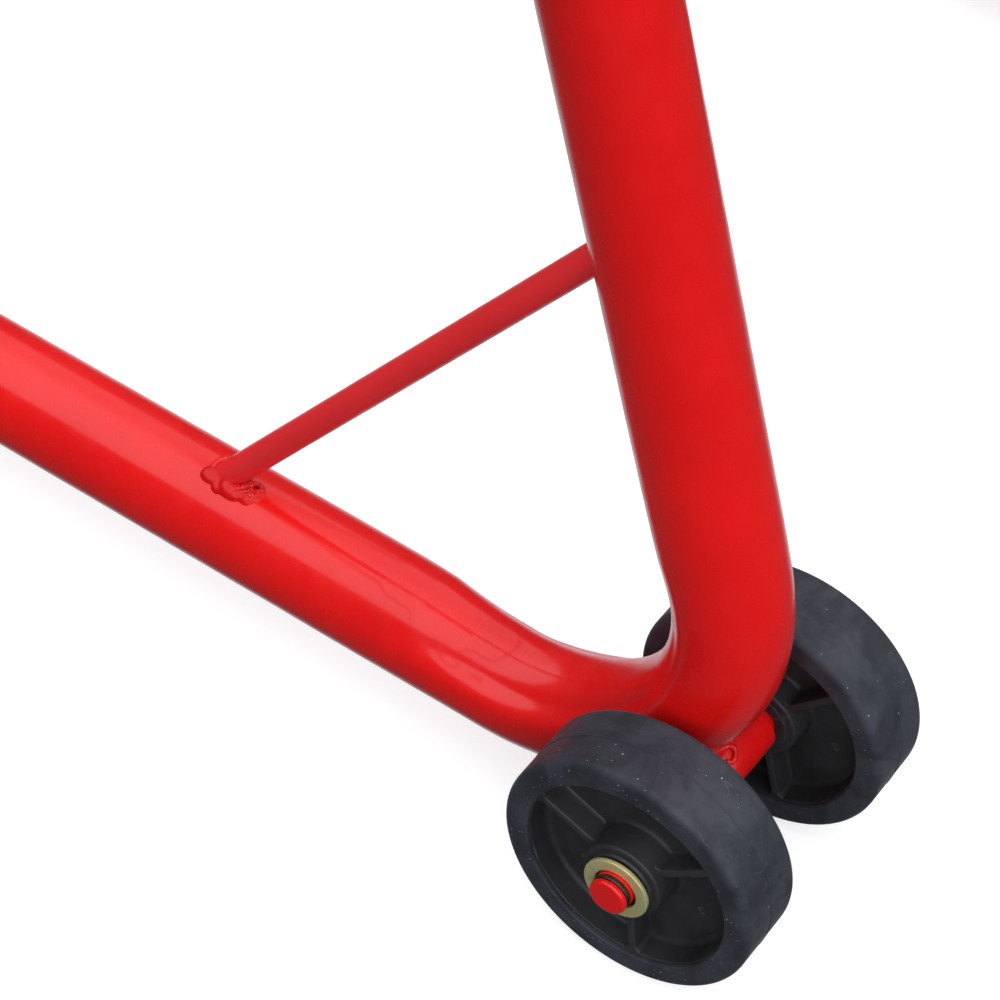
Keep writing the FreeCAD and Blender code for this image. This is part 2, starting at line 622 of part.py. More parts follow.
def l_block(inner_edge, outer_face, bottom, top, thickness, width):
    """An L-shaped block: a level leg and a wall at its outer end."""
    half = width / 2
    level = Part.makeBox(outer_face - inner_edge, width, thickness, Vector(inner_edge, -half, bottom))
    wall = Part.makeBox(thickness, width, top - bottom, Vector(outer_face - thickness, -half, bottom))
    return level.fuse(wall).removeSplitter()


def edges_along(shape, axis, x=None, z=None):
    """The straight edges of a shape that run along an axis, at an x or a z."""
    found = []
    for edge in shape.Edges:
        ends = [v.Point for v in edge.Vertexes]
        if len(ends) != 2 or (ends[1] - ends[0]).cross(axis).Length > TOLERANCE:
            continue
        middle = edge.CenterOfMass
        at_x = x is None or abs(middle.x - x) < TOLERANCE
        at_z = z is None or abs(middle.z - z) < TOLERANCE
        if at_x and at_z:
            found.append(edge)
    return found


def cradle_screw_points():
    half = CRADLE_SCREW_SPACING / 2
    return [Vector(CRADLE_SCREW_AT, -half, 0), Vector(CRADLE_SCREW_AT, half, 0)]


def cradle_plate(side):
    """Bent steel plate that carries the swingarm from below and from outside."""
    top = CRADLE_UNDERSIDE + CRADLE_PLATE
    plate = l_block(CRADLE_INNER_EDGE, CRADLE_OUTER_FACE, CRADLE_UNDERSIDE, CRADLE_WALL_TOP, CRADLE_PLATE,
                    CRADLE_WIDTH)
    outside = edges_along(plate, Y_AXIS, x=CRADLE_OUTER_FACE, z=CRADLE_UNDERSIDE)
    plate = plate.makeFillet(CRADLE_BEND_R, outside)
    inside = edges_along(plate, Y_AXIS, x=CRADLE_OUTER_FACE - CRADLE_PLATE, z=top)
    plate = plate.makeFillet(CRADLE_BEND_R - CRADLE_PLATE, inside)
    corners = edges_along(plate, X_AXIS, z=CRADLE_WALL_TOP) + edges_along(plate, Z_AXIS, x=CRADLE_INNER_EDGE)
    plate = plate.makeFillet(CRADLE_CORNER_R, corners)
    for point in cradle_screw_points():
        plate = plate.cut(rod(point, point + Z_AXIS * CRADLE_WALL_TOP, CRADLE_SCREW_D / 2))
    return on_side(at_bar(plate), side)


def cradle_pad(side):
    """Rubber facing on the plate's seat and wall."""
    bottom = CRADLE_UNDERSIDE + CRADLE_PLATE
    face = CRADLE_OUTER_FACE - CRADLE_PLATE
    inner_edge = CRADLE_INNER_EDGE + CRADLE_PAD_MARGIN
    top = CRADLE_WALL_TOP - CRADLE_PAD_MARGIN
    pad = l_block(inner_edge, face, bottom, top, CRADLE_PAD, CRADLE_WIDTH - 2 * CRADLE_PAD_MARGIN)
    pad = pad.makeFillet(CRADLE_BEND_R - CRADLE_PLATE, edges_along(pad, Y_AXIS, x=face, z=bottom))
    inside = edges_along(pad, Y_AXIS, x=face - CRADLE_PAD, z=bottom + CRADLE_PAD)
    pad = pad.makeFillet(CRADLE_PAD_CORNER_R, inside)
    corners = edges_along(pad, X_AXIS, z=top) + edges_along(pad, Z_AXIS, x=inner_edge)
    pad = pad.makeFillet(CRADLE_CORNER_R - CRADLE_PAD_MARGIN, corners)
    recess_z = Z_AXIS * (bottom + CRADLE_PAD - CRADLE_SCREW_RECESS)
    recess_r = CRADLE_SCREW_HEAD_D / 2 + CRADLE_SCREW_CLEARANCE
    for point in cradle_screw_points():
        pad = pad.cut(rod(point, point + Z_AXIS * CRADLE_WALL_TOP, CRADLE_SCREW_D / 2))
        pad = pad.cut(rod(point + recess_z, point + Z_AXIS * CRADLE_WALL_TOP, recess_r))
    return on_side(at_bar(pad), side)


def cradle_screws(side):
    """Two screws that hold the pad on the plate, heads sunk in the rubber."""
    seat = CRADLE_UNDERSIDE + CRADLE_PLATE + CRADLE_PAD - CRADLE_SCREW_RECESS
    tip = CRADLE_UNDERSIDE - CRADLE_NUT - CRADLE_SCREW_TIP
    screws = []
    for point in cradle_screw_points():
        head_seat = point + Z_AXIS * seat
        head = rod(head_seat, head_seat + Z_AXIS * CRADLE_SCREW_HEAD, CRADLE_SCREW_HEAD_D / 2)
        shank = rod(point + Z_AXIS * tip, head_seat, CRADLE_SCREW_D / 2)
        screws.append(head.fuse(shank).removeSplitter())
    return on_side(at_bar(Part.makeCompound(screws)), side)


def cradle_nuts(side):
    """Nuts under the plate, on the pad screws."""
    nuts = []
    for point in cradle_screw_points():
        nut = hexagon(CRADLE_NUT_AF, CRADLE_NUT, point + Z_AXIS * CRADLE_UNDERSIDE, -Z_AXIS)
        nuts.append(nut.cut(rod(point, point + Z_AXIS * CRADLE_WALL_TOP, CRADLE_SCREW_D / 2)))
    return on_side(at_bar(Part.makeCompound(nuts)), side)


SIDE_PARTS = {
    "side_tube": side_tube,
    "brace_rod": brace_rod,
    "axle_tube": axle_tube,
    "axle": axle,
    "axle_washers": axle_washers,
    "axle_rings": axle_rings,
    "foot_pad": foot_pad,
    "clamp_sleeve": clamp_sleeve,
    "clamp_nut": clamp_nut,
    "clamp_shoe": clamp_shoe,
    "clamp_screw": clamp_screw,
    "clamp_knob": clamp_knob,
    "adapter_bar": adapter_bar,
    "end_washer": end_washer,
    "end_screw": end_screw,
    "cradle_hub": cradle_hub,
    "cradle_plate": cradle_plate,
    "cradle_pad": cradle_pad,
    "cradle_screws": cradle_screws,
    "cradle_nuts": cradle_nuts,
}
WHEEL_PARTS = {"rim": rim, "tyre": tyre}
SHARED_PARTS = {
    "rear_crossbar": crossbar,
    "foot_screws": foot_screws,
    "foot_rivet_nuts": foot_rivet_nuts,
    "handle_hoop": handle_hoop,
    "handle_grip": handle_grip,
    "handle_bolts": handle_bolts,
    "handle_nuts": handle_nuts,
    "handle_washers": handle_washers,
}


def build():
    """Every node's name and shape."""
    shapes = {name: make() for name, make in SHARED_PARTS.items()}
    for side in SIDES:
        for name, make in SIDE_PARTS.items():
            shapes[side + "_" + name] = make(side)
        for place in RIB_PHASE:
            for name, make in WHEEL_PARTS.items():
                shapes["_".join((side, place, name))] = make(side, place)
    return shapes


def main():
    os.makedirs("parts", exist_ok=True)
    for node, shape in build().items():
        shape.exportStep(os.path.join("parts", node + ".step"))


if __name__ == "__main__":
    main()
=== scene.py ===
import json
from math import acos, atan2, copysign, cos, hypot, pi, radians, sin, sqrt, tan

import bmesh
import bpy
import numpy as np
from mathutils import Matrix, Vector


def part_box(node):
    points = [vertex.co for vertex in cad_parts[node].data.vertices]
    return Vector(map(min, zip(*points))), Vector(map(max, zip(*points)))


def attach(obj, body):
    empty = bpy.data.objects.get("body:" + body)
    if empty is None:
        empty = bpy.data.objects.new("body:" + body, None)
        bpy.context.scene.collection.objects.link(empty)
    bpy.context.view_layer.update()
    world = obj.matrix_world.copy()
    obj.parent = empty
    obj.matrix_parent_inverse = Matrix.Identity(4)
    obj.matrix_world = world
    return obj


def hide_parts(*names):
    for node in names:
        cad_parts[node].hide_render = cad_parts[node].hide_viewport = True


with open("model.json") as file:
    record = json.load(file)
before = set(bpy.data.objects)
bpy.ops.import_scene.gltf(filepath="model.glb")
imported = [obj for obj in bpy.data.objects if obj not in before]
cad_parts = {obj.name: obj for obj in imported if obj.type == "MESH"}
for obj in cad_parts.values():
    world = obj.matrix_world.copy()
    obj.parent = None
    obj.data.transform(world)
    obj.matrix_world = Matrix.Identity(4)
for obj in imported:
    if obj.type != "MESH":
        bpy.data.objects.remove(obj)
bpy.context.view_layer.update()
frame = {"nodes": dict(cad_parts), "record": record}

# Millimetres throughout, scaled to metres where a mesh is made.
MM = 0.001
SIDES = {"right": -1, "left": 1}  # which way along X each side is
ACROSS, REARWARD, UP = np.eye(3)


def span(node):
    """Lowest and highest corner of a CAD node, in millimetres."""
    low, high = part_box(node)
    return np.array(low) / MM, np.array(high) / MM


def middle(node):
    return sum(span(node)) / 2


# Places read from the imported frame
HALF_TRACK, AXLE_Y, AXLE_Z = middle("left_axle_tube")
TRACK = {side: sign * HALF_TRACK for side, sign in SIDES.items()}
BAR_Y, BAR_Z = middle("left_clamp_sleeve")[1:]
TUBE_LOW, TUBE_HIGH = span("left_side_tube")
TUBE_R = (TUBE_HIGH[0] - TUBE_LOW[0]) / 2
FOOT_END_Y = TUBE_HIGH[1]
CROSSBAR = middle("rear_crossbar")

# Shape of the side tube
LEG_ANGLE = radians(71.1)
BEND_R = 66.3
CORNER_Y = AXLE_Y - 22.8
FOOT_Z = 30.0
UPRIGHT = np.array([0.0, cos(LEG_ANGLE), sin(LEG_ANGLE)])
FOOT = REARWARD
BEND_SETBACK = BEND_R / tan(LEG_ANGLE / 2)
BEND_LENGTH = BEND_R * (pi - LEG_ANGLE)
BEND_CENTRE = np.array([0.0, CORNER_Y + BEND_SETBACK, FOOT_Z + BEND_R])
UPRIGHT_LENGTH = 312.0
SLEEVE_R = 18.0
CUT_DEPTH = 46  # how far below the tube's top the cut for the sleeve may start

# How far the bend's inner side is pressed in, along the tube from the bend's start
PRESS_AT = [-60, -40, -28, -20, -10, 0, 15, 30, 60, 80, 100, 115, 128, 136, 150, 175]
PRESS_BY = [0, 0.1, 0.5, 1.6, 2.7, 3.1, 3.0, 2.8, 2.9, 2.7, 1.9, 1.4, 0.9, 0.4, 0.15, 0]
# ...and how far round, in degrees, the flat reaches: on the side that faces the other tube,
# along the tube, and on the outside.
FLAT_AT = [-40, -15, 0, 5, 10, 20, 30]
FLAT_TO = [49, 59.2, 60.5, 59.2, 56, 51, 48]
FLAT_OUTSIDE = 49

# The lumps of the weld at the brace's foot: along and across the tube, sizes, height
PUDDLE_LUMPS = ((198.2, 4.0, 3.9, 3.3, 1.7), (194.0, 5.6, 3.0, 3.0, 1.5), (190.0, 4.4, 5.4, 4.2, 2.5),
                (185.4, 2.6, 4.9, 4.9, 2.0), (194.5, -3.0, 4.0, 4.0, 1.5))

# Stage, in metres and watts
FLOOR_HALF = 40
FLOOR_GLOW = 0.68
BACKDROP = 1.04  # brightness of the background that the camera sees
DIM_STRIP = (-0.156, 0.914, -0.371)  # across a thin dim line in the sky
PALE_GROUND = (0.586, 0.338, -0.737)  # towards a paler patch low down
PANEL_SIZE = 2.4
PANEL_WATTS = 12.0
PANEL_AT = np.array([-2.6, -1.0, 1.1])
# Camera: its axes, and its place from the right axle's middle in millimetres
CAMERA_RIGHT = (0.56570, -0.82138, 0.07287)
CAMERA_UP = (0.58051, 0.45945, 0.67225)
CAMERA_BACK = (-0.58566, -0.33799, 0.73673)
CAMERA_FROM_AXLE = (-547.83, -237.34, 747.77)


# ---- mesh helpers

def circle(count):
    """Angles of even steps round a circle."""
    return np.linspace(0, 2 * pi, count, endpoint=False)


def unit(vectors):
    """One vector, or each row of several, at length 1."""
    return vectors / np.linalg.norm(vectors, axis=-1, keepdims=True)


def spokes(angles, first, second):
    """One direction an angle, turned from first towards second."""
    return first * np.cos(angles)[:, None] + second * np.sin(angles)[:, None]


def round_in(along, corner):
    """How far a round corner has pulled a side in, along from its tip."""
    return corner - sqrt(max(corner ** 2 - (corner - min(along, corner)) ** 2, 0))


def add_mesh(name, verts, faces, crease=38.0, weighted=True):
    """A mesh object from millimetre vertices, smooth except over edges sharper than crease."""
    mesh = bpy.data.meshes.new(name)
    mesh.from_pydata((np.asarray(verts, float) * MM).tolist(), [], faces)
    work = bmesh.new()
    work.from_mesh(mesh)
    bmesh.ops.recalc_face_normals(work, faces=work.faces)
    work.to_mesh(mesh)
    work.free()
    mesh.shade_smooth()
    mesh.set_sharp_from_angle(angle=radians(crease))
    made = bpy.data.objects.new(name, mesh)
    bpy.context.scene.collection.objects.link(made)
    if weighted:
        made.modifiers.new("normals", "WEIGHTED_NORMAL").keep_sharp = True
    return made


def loft(name, rings, crease=38.0, loop=False):
    """A closed mesh through rings of points; with loop the last ring joins the first."""
    rings = np.asarray(rings, float)
    count, around = rings.shape[:2]
    faces = []
    for i in range(count if loop else count - 1):
        a, b = i * around, ((i + 1) % count) * around
        faces += [(a + j, a + (j + 1) % around, b + (j + 1) % around, b + j) for j in range(around)]
    if not loop:
        faces.append(tuple(range(around)))
        faces.append(tuple(range((count - 1) * around, count * around)))
    return add_mesh(name, rings.reshape(-1, 3), faces, crease)


def rounded(corners, loop=True, steps=4):
    """A polygon whose (u, v, radius) corners are turned into arcs."""
    points = []
    places = [np.array(corner[:2], float) for corner in corners]
    for i, here in enumerate(places):
        radius = corners[i][2] if len(corners[i]) > 2 else 0
        if not radius or (not loop and i in (0, len(corners) - 1)):
            points.append(here)
            continue
        back = places[i - 1] - here
        ahead = places[(i + 1) % len(corners)] - here
        back_length, ahead_length = np.linalg.norm(back), np.linalg.norm(ahead)
        back, ahead = back / back_length, ahead / ahead_length
        half = acos(np.clip(back @ ahead, -1, 1)) / 2
        reach = min(radius / tan(half), 0.49 * back_length, 0.49 * ahead_length)
        start, end = here + back * reach, here + ahead * reach
        centre = here + unit(back + ahead) * reach / cos(half)
        first = atan2(*(start - centre)[::-1])
        turn = (atan2(*(end - centre)[::-1]) - first + pi) % (2 * pi) - pi
        size = np.linalg.norm(start - centre)
        angles = [first + turn * k / steps for k in range(steps + 1)]
        points += [centre + size * np.array([cos(angle), sin(angle)]) for angle in angles]
    return np.array(points)


def lathe(name, corners, centre, loop=True, steps=96, away=1, arc=None, crease=38.0, soft=4):
    """Turns (distance, radius, rounding) corners about the line along X through centre."""
    angles = circle(steps) if arc is None else np.linspace(*arc, steps)
    # A radius of at least 0.02 keeps the points on the axis apart.
    profile = np.maximum(rounded(corners, loop, soft), (-np.inf, 0.02))
    along = centre[0] + away * profile[:, 0]
    y = centre[1] + profile[:, 1][:, None] * np.cos(angles)
    z = centre[2] + profile[:, 1][:, None] * np.sin(angles)
    rings = np.stack([np.repeat(along[:, None], len(angles), 1), y, z], -1)
    if arc is None:
        return loft(name, rings, crease, loop)
    return loft(name, rings.transpose(1, 0, 2), crease)


def frames_along(points, normal):
    """Tangents and carried-along normals of a line of points; normal is about the first."""
    tangents = unit(np.gradient(points, axis=0))
    normals = []
    for tangent in tangents:
        normal = unit(normal - (normal @ tangent) * tangent)
        normals.append(normal)
    return tangents, np.array(normals)


def tube_rings(points, radii, normal, around):
    """Rings round a line; radii is one value, or one a point."""
    tangents, normals = frames_along(points, normal)
    out = spokes(circle(around), normals[:, None], np.cross(tangents, normals)[:, None])
    return points[:, None] + out * np.broadcast_to(radii, len(points))[:, None, None]


def bent_line(corners, bend_r, step):
    """Points along straight runs joined by round bends, four steps apart on the runs."""
    corners = [np.array(c, float) for c in corners]
    start = corners[0]
    pieces = []

    def run(end, whole):
        count = max(2, int(np.linalg.norm(end - start) / (4 * step)))
        pieces.append(start + np.linspace(0, 1, count, endpoint=whole)[:, None] * (end - start))

    for before, corner, after in zip(corners, corners[1:], corners[2:]):
        come, leave = unit(corner - before), unit(after - corner)
        turn = acos(come @ leave)
        setback = bend_r * tan(turn / 2)
        bend_start = corner - come * setback
        run(bend_start, False)
        inward = unit(leave - (leave @ come) * come)
        angles = np.linspace(0, turn, int(bend_r * turn / step), endpoint=False)[:, None]
        centre = bend_start + inward * bend_r
        pieces.append(centre - inward * bend_r * np.cos(angles) + come * bend_r * np.sin(angles))
        start = corner + leave * setback
    run(corners[-1], True)
    return np.concatenate(pieces)


def wobble(values, seed, length, count=5):
    """A smooth uneven line, about -1 to 1, whose bumps are about length long."""
    rng = np.random.default_rng(seed)
    total = np.zeros(np.shape(values))
    for _ in range(count):
        total = total + np.sin(2 * pi * values / (length * rng.uniform(0.6, 1.8)) + rng.uniform(0, 6.3))
    return total / count ** 0.5


def resample(points, step, closed):
    """Even points along a line, how far along each is, and the line's length."""
    points = np.asarray(points, float)
    if closed:
        points = np.concatenate([points, points[:1]])
    lengths = np.concatenate([[0], np.cumsum(np.linalg.norm(np.diff(points, axis=0), axis=1))])
    count = max(8, int(lengths[-1] / step))
    at = np.linspace(0, lengths[-1], count, endpoint=not closed)
    return place_on(points, lengths, at), at, lengths[-1]


def place_on(points, lengths, at):
    return np.stack([np.interp(at, lengths, points[:, k]) for k in range(3)], -1)


def bead(name, line, radius, seed, closed=True, ripple=1.7, lump=0.12):
    """A weld bead: overlapping ripples along a line, uneven in width by about lump."""
    points, at, length = resample(line, 0.35, closed)
    period = length / max(2, round(length / ripple))
    ripples = 1 + 0.09 * (1 - at / period % 1) ** 2
    around = 14
    if not closed:
        width = radius * (ripples + lump * wobble(at, seed, length / 3, 3))
        width *= np.sqrt(np.clip(np.minimum(at, length - at) / radius, 0.02, 1))
        return rod(name, points, width, np.array([0.3, 0.2, 1]), around)
    width = radius * (ripples + lump * np.sin(2 * pi * (at / length * 2 + seed))
                      + lump * 0.6 * np.sin(2 * pi * (at / length * 5 + seed * 1.7)))
    tangents = unit(np.roll(points, -1, 0) - np.roll(points, 1, 0))
    inward = points.mean(0) - points
    inward = unit(inward - (inward * tangents).sum(1)[:, None] * tangents)
    out = spokes(circle(around), inward[:, None], np.cross(tangents, inward)[:, None])
    return loft(name, points[:, None] + out * width[:, None, None], 60, True)


def rod(name, points, radius, normal, around):
    return loft(name, tube_rings(points, radius, normal, around), 60)


def saddle(start, along, radius, tube_start, tube_along):
    """Where lines on a thin rod's surface first meet a main tube."""
    along = unit(along)
    first = np.cross(along, ACROSS)
    if np.linalg.norm(first) < 0.1:
        first = np.cross(along, UP)
    first = unit(first)
    second = np.cross(along, first)
    going = along - (along @ tube_along) * tube_along
    points = []
    for angle in circle(96):
        foot = start + radius * (cos(angle) * first + sin(angle) * second) - tube_start
        flat = foot - (foot @ tube_along) * tube_along
        a, b, c = going @ going, 2 * flat @ going, flat @ flat - TUBE_R ** 2
        root = (-b - sqrt(max(b * b - 4 * a * c, 0))) / (2 * a)
        points.append(tube_start + foot + root * along)
    return np.array(points)


def slab(name, line, width_at, thickness_at, edge):
    """A bent plate, its width along Y: line is its middle line, with edge round at its rims."""
    points, at, length = line
    up = np.cross(unit(np.gradient(points, axis=0)), REARWARD)
    rings = []
    for point, s, normal in zip(points, at, up):
        inset = round_in(min(s, length - s), edge)
        half_w = width_at(s) - inset
        low, high = thickness_at(s)
        low, high = low + inset, high - inset
        ring = []
        corner = min(edge, (high - low) / 2 - 0.01)
        for cu, cv, first in ((1, 1, 0), (-1, 1, 90), (-1, -1, 180), (1, -1, 270)):
            for k in range(4):
                angle = radians(first + 30 * k)
                u = cu * (half_w - corner) + corner * cos(angle)
                v = (high - corner if cv > 0 else low + corner) + corner * sin(angle)
                ring.append(point + REARWARD * u + normal * v)
        rings.append(ring)
    return loft(name, rings)


def prism(name, outline, start, along, up, depth, chamfer, bore=0.0):
    """An outline (u, v) carried along a direction, with both rims rounded, and a round bore."""
    side = np.cross(up, along)
    normals = outward(outline)
    if ((outline - outline.mean(0)) * normals).sum() < 0:
        normals = -normals

    def ring(points, height):
        return start + along * height + points[:, :1] * side + points[:, 1:] * up

    rims = [(outline - normals * (chamfer * (1 - sin(a))), chamfer * (1 - cos(a)))
            for a in np.linspace(0, pi / 2, 5)]
    rings = [ring(points, rise) for points, rise in rims]
    rings += [ring(points, depth - rise) for points, rise in rims[::-1]]
    if bore:
        angles = np.arctan2(outline[:, 1], outline[:, 0])
        hole = bore * np.stack([np.cos(angles), np.sin(angles)], -1)
        mouth = 0.08
        rings += [ring(hole * (1 + mouth), depth), ring(hole, depth - bore * mouth),
                  ring(hole, bore * mouth), ring(hole * (1 + mouth), 0)]
    return loft(name, rings, 30, bool(bore))


def outward(outline):
    """Unit normals of a closed outline, on its right-hand side."""
    turned = np.roll(outline, -1, 0) - np.roll(outline, 1, 0)
    return unit(np.stack([turned[:, 1], -turned[:, 0]], -1))


def hexagon(across_flats, round_off):
    """A hexagon's outline, with points at most about 0.8 mm apart."""
    size = across_flats / sqrt(3)
    points = rounded([(size * cos(pi / 3 * i), size * sin(pi / 3 * i), round_off) for i in range(6)], steps=2)
    denser = []
    for a, b in zip(points, np.roll(points, -1, 0)):
        count = max(1, int(np.linalg.norm(b - a) / 0.8))
        denser += [a + (b - a) * k / count for k in range(count)]
    return np.array(denser)


def button_head(name, seat, along, up, radius, height, socket_half):
    """A domed screw head with a hexagon socket, rising from its seat along a direction."""
    angles = circle(72)
    socket = socket_half / np.cos((angles + pi / 6) % (pi / 3) - pi / 6)
    rim = 0.8
    dome = height - rim
    rows = [(0, radius - 0.4), (0.3, radius), (rim, radius)]
    rows += [(rim + dome * sin(a), radius - dome + dome * cos(a)) for a in np.linspace(0.1, pi / 2, 9)]
    rows += [(height, socket + 0.15), (height - 0.15, socket), (0.45 * height, socket),
             (0.4 * height, socket * 0.4)]
    out = spokes(angles, np.cross(up, along), up)
    rings = [seat + along * u + out * np.reshape(r, (-1, 1)) for u, r in rows]
    return loft(name, rings, 40)


def thread(name, start, along, up, length, radius, pitch, depth=0.5, around=40):
    """A threaded rod: the radius follows one helix, with both tips tapered."""
    angles = circle(around)
    out = spokes(angles, up, np.cross(up, along))
    rings = []
    for at in np.linspace(0, length, max(8, int(length / pitch * 8))):
        phase = (at / pitch - angles / (2 * pi)) % 1
        tooth = np.clip(1.25 * (1 - 2 * np.abs(phase - 0.5)), 0, 1)
        taper = min(1, min(at, length - at) / pitch)
        rings.append(start + along * at + out * (radius - depth * (1 - tooth * taper))[:, None])
    return loft(name, rings, 50)


# ---- materials

MATERIALS = {}


class Nodes:
    """Adds shader nodes to a tree. Any value may be a number or another node's output."""

    def __init__(self, tree):
        self.tree = tree
        tree.nodes.clear()

    def feed(self, socket, value):
        if isinstance(value, bpy.types.NodeSocket):
            self.tree.links.new(value, socket)
        elif socket.type == "RGBA":
            socket.default_value = (*value, 1)
        else:
            socket.default_value = value

    def add(self, kind, values, output=0, **settings):
        """A node with these inputs and settings; returns one output, or all of them for None."""
        made = self.tree.nodes.new("ShaderNode" + kind)
        for key, value in settings.items():
            setattr(made, key, value)
        for key, value in values.items():
            self.feed(made.inputs[key], value)
        if output is None or not made.outputs:
            return made.outputs
        return made.outputs[output]

    def maths(self, operation, a, b=0.0, c=0.0, clamp=False):
        return self.add("Math", {0: a, 1: b, 2: c}, operation=operation, use_clamp=clamp)

    def times(self, a, b):
        return self.maths("MULTIPLY", a, b)

    def mix(self, factor, a, b):
        return self.add("Mix", {0: factor, 6: a, 7: b}, 2, data_type="RGBA")

    def remap(self, value, low, high, out_low=0.0, out_high=1.0):
        """A smooth step of value from low to high."""
        return self.add("MapRange", {0: value, 1: low, 2: high, 3: out_low, 4: out_high},
                        interpolation_type="SMOOTHSTEP")

    def noise(self, scale, detail, rough=0.5, warp=0.0, place=None):
        """Noise about 0.5 with scale bumps a millimetre."""
        values = {"Vector": self.place if place is None else place, "Scale": scale,
                  "Detail": detail, "Roughness": rough, "Distortion": warp}
        return self.add("TexNoise", values)


class Finish(Nodes):
    """A material whose colour is laid on in layers; place is its point in millimetres."""

    def __init__(self, name, coat=0.0, coat_rough=0.05, specular=0.5, metallic=0.0, sheen=0.0):
        material = MATERIALS[name] = bpy.data.materials.new(name)
        material.use_nodes = True
        super().__init__(material.node_tree)
        surface = self.add("BsdfPrincipled", {
            "Metallic": metallic, "Coat Weight": coat, "Coat Roughness": coat_rough,
            "Specular IOR Level": specular, "Sheen Weight": sheen})
        self.sockets = surface.node.inputs
        self.add("OutputMaterial", {0: surface})
        metres = self.add("TexCoord", {}, "Object")
        self.place = self.add("VectorMath", {0: metres, "Scale": 1 / MM}, operation="SCALE")
        self.edge = self.add("NewGeometry", {}, "Pointiness")

    def cloud(self, low, high, *noise, out=(0.0, 1.0)):
        return self.remap(self.noise(*noise), low, high, *out)

    def specks(self, scale, size, chance):
        """Small round marks, one here and there, about size of a cell wide."""
        cells = self.add("TexVoronoi", {"Vector": self.place, "Scale": scale, "Randomness": 1.0}, None)
        pick = self.maths("GREATER_THAN", self.add("SeparateColor", {0: cells["Color"]}), 1 - chance)
        return self.times(pick, self.remap(cells["Distance"], size * 0.5, size, 1, 0))

    def lay(self, cover, colour, share=None):
        """Lays a share of a colour over what is there, where cover is."""
        self.colour = self.mix(self.times(cover, share) if share else cover, self.colour, colour)

    def done(self, rough, *bumps):
        """Wires the shader up; bumps are (height, depth in millimetres), stacked in order."""
        below = {}
        for height, depth in bumps:
            bump = {"Height": height, "Distance": depth * MM, "Strength": 1.0}
            below = {"Normal": self.add("Bump", bump | below)}
        for key, value in {"Base Color": self.colour, "Roughness": rough, **below}.items():
            self.feed(self.sockets[key], value)


# Colour laid over sharp crests: how sharp an edge, its share, its colour. DARK_CREST is paint that runs thin
# over edges; the pale one is a painted highlight on the weld's crests.
DARK_CREST = (0.62, 0.35, (0.42, 0.03, 0.025))
PAINTED_HIGHLIGHT_CREST = (0.53, 1.0, (0.95, 0.38, 0.36))


def red_paint(name, colours, coat, roughness, peel=1.0, specular=0.3, crest=DARK_CREST):
    """Glossy powder coat: slight orange peel, small nibs of dust, faint colour drift."""
    made = Finish(name, coat=coat, coat_rough=0.025, specular=specular)
    made.colour = made.mix(made.cloud(0.3, 0.7, 0.03, 3), *colours)
    nibs = made.specks(0.16, 0.05, 0.25)
    made.lay(nibs, (0.45, 0.01, 0.01), 0.35)
    # Sharp crests take the crest colour: thin paint on the frame, a painted highlight on the weld's pale
    # crests.
    sharp, share, tint = crest
    thin_paint_and_highlight = made.remap(made.edge, sharp, sharp + 0.1)
    made.lay(made.times(thin_paint_and_highlight, made.cloud(0.5, 0.62, 0.5, 4)), tint, share)
    made.done(made.cloud(0.35, 0.7, 0.11, 4, out=roughness),
              (made.noise(0.3, 0, 0.4), 0.0026 * peel), (made.noise(0.05, 1), 0.015), (nibs, 0.03))


def tyre_rubber():
    """Moulded solid rubber: blue-black bloom, pale dust specks, fine scratches, rubbed edges."""
    made = Finish("tyre_rubber", specular=0.25, sheen=0.04)
    bloom = made.cloud(0.36, 0.66, 0.06, 4, 0.6, 0.5)
    made.colour = made.mix(bloom, (0.0195, 0.021, 0.027), (0.040, 0.0425, 0.055))
    made.lay(made.cloud(0.52, 0.78, 0.25, 5, 0.7, 0.6), (0.055, 0.060, 0.075), 0.45)
    dust = made.maths("ADD", made.specks(0.36, 0.10, 0.3), made.specks(0.8, 0.14, 0.10), clamp=True)
    dust = made.times(dust, made.cloud(0.42, 0.60, 0.05, 2, out=(0.12, 1.0)))
    made.lay(dust, (0.42, 0.43, 0.46))
    line = made.maths("ABSOLUTE", made.maths("SUBTRACT", made.noise(0.075, 1, 0.5, 0.25), 0.5))
    scratch = made.times(made.remap(line, 0.0, 0.0025, 1, 0), made.cloud(0.58, 0.66, 0.07, 2))
    made.lay(scratch, (0.25, 0.25, 0.27), 0.4)
    made.lay(made.remap(made.edge, 0.52, 0.6), (0.10, 0.105, 0.12), 0.22)
    made.done(made.cloud(0.3, 0.7, 0.12, 4, out=(0.46, 0.62)),
              (made.noise(2.2, 3), 0.02), (made.noise(0.22, 3), 0.09), (dust, 0.05))


def moulded(name, colours, roughness, specular, grain=1.6, grain_depth=0.02):
    """Moulded plastic or rubber: fine grain, cloudy shine, paler sharp edges (rubbed wear and painted
    highlight), a little dust.
    """
    made = Finish(name, specular=specular)
    made.colour = made.mix(made.cloud(0.3, 0.7, 0.07, 4), *colours)
    made.lay(made.specks(0.45, 0.08, 0.08), (0.2, 0.2, 0.21), 0.5)
    # Paler on sharp edges: partly rubbed wear, partly a painted highlight along the rounded edges.
    made.lay(made.remap(made.edge, 0.52, 0.62), tuple(4 * c for c in colours[1]), 0.3)
    made.done(made.cloud(0.3, 0.7, 0.2, 4, out=roughness),
              (made.noise(grain, 3), grain_depth), (made.noise(0.12, 2), 0.05))


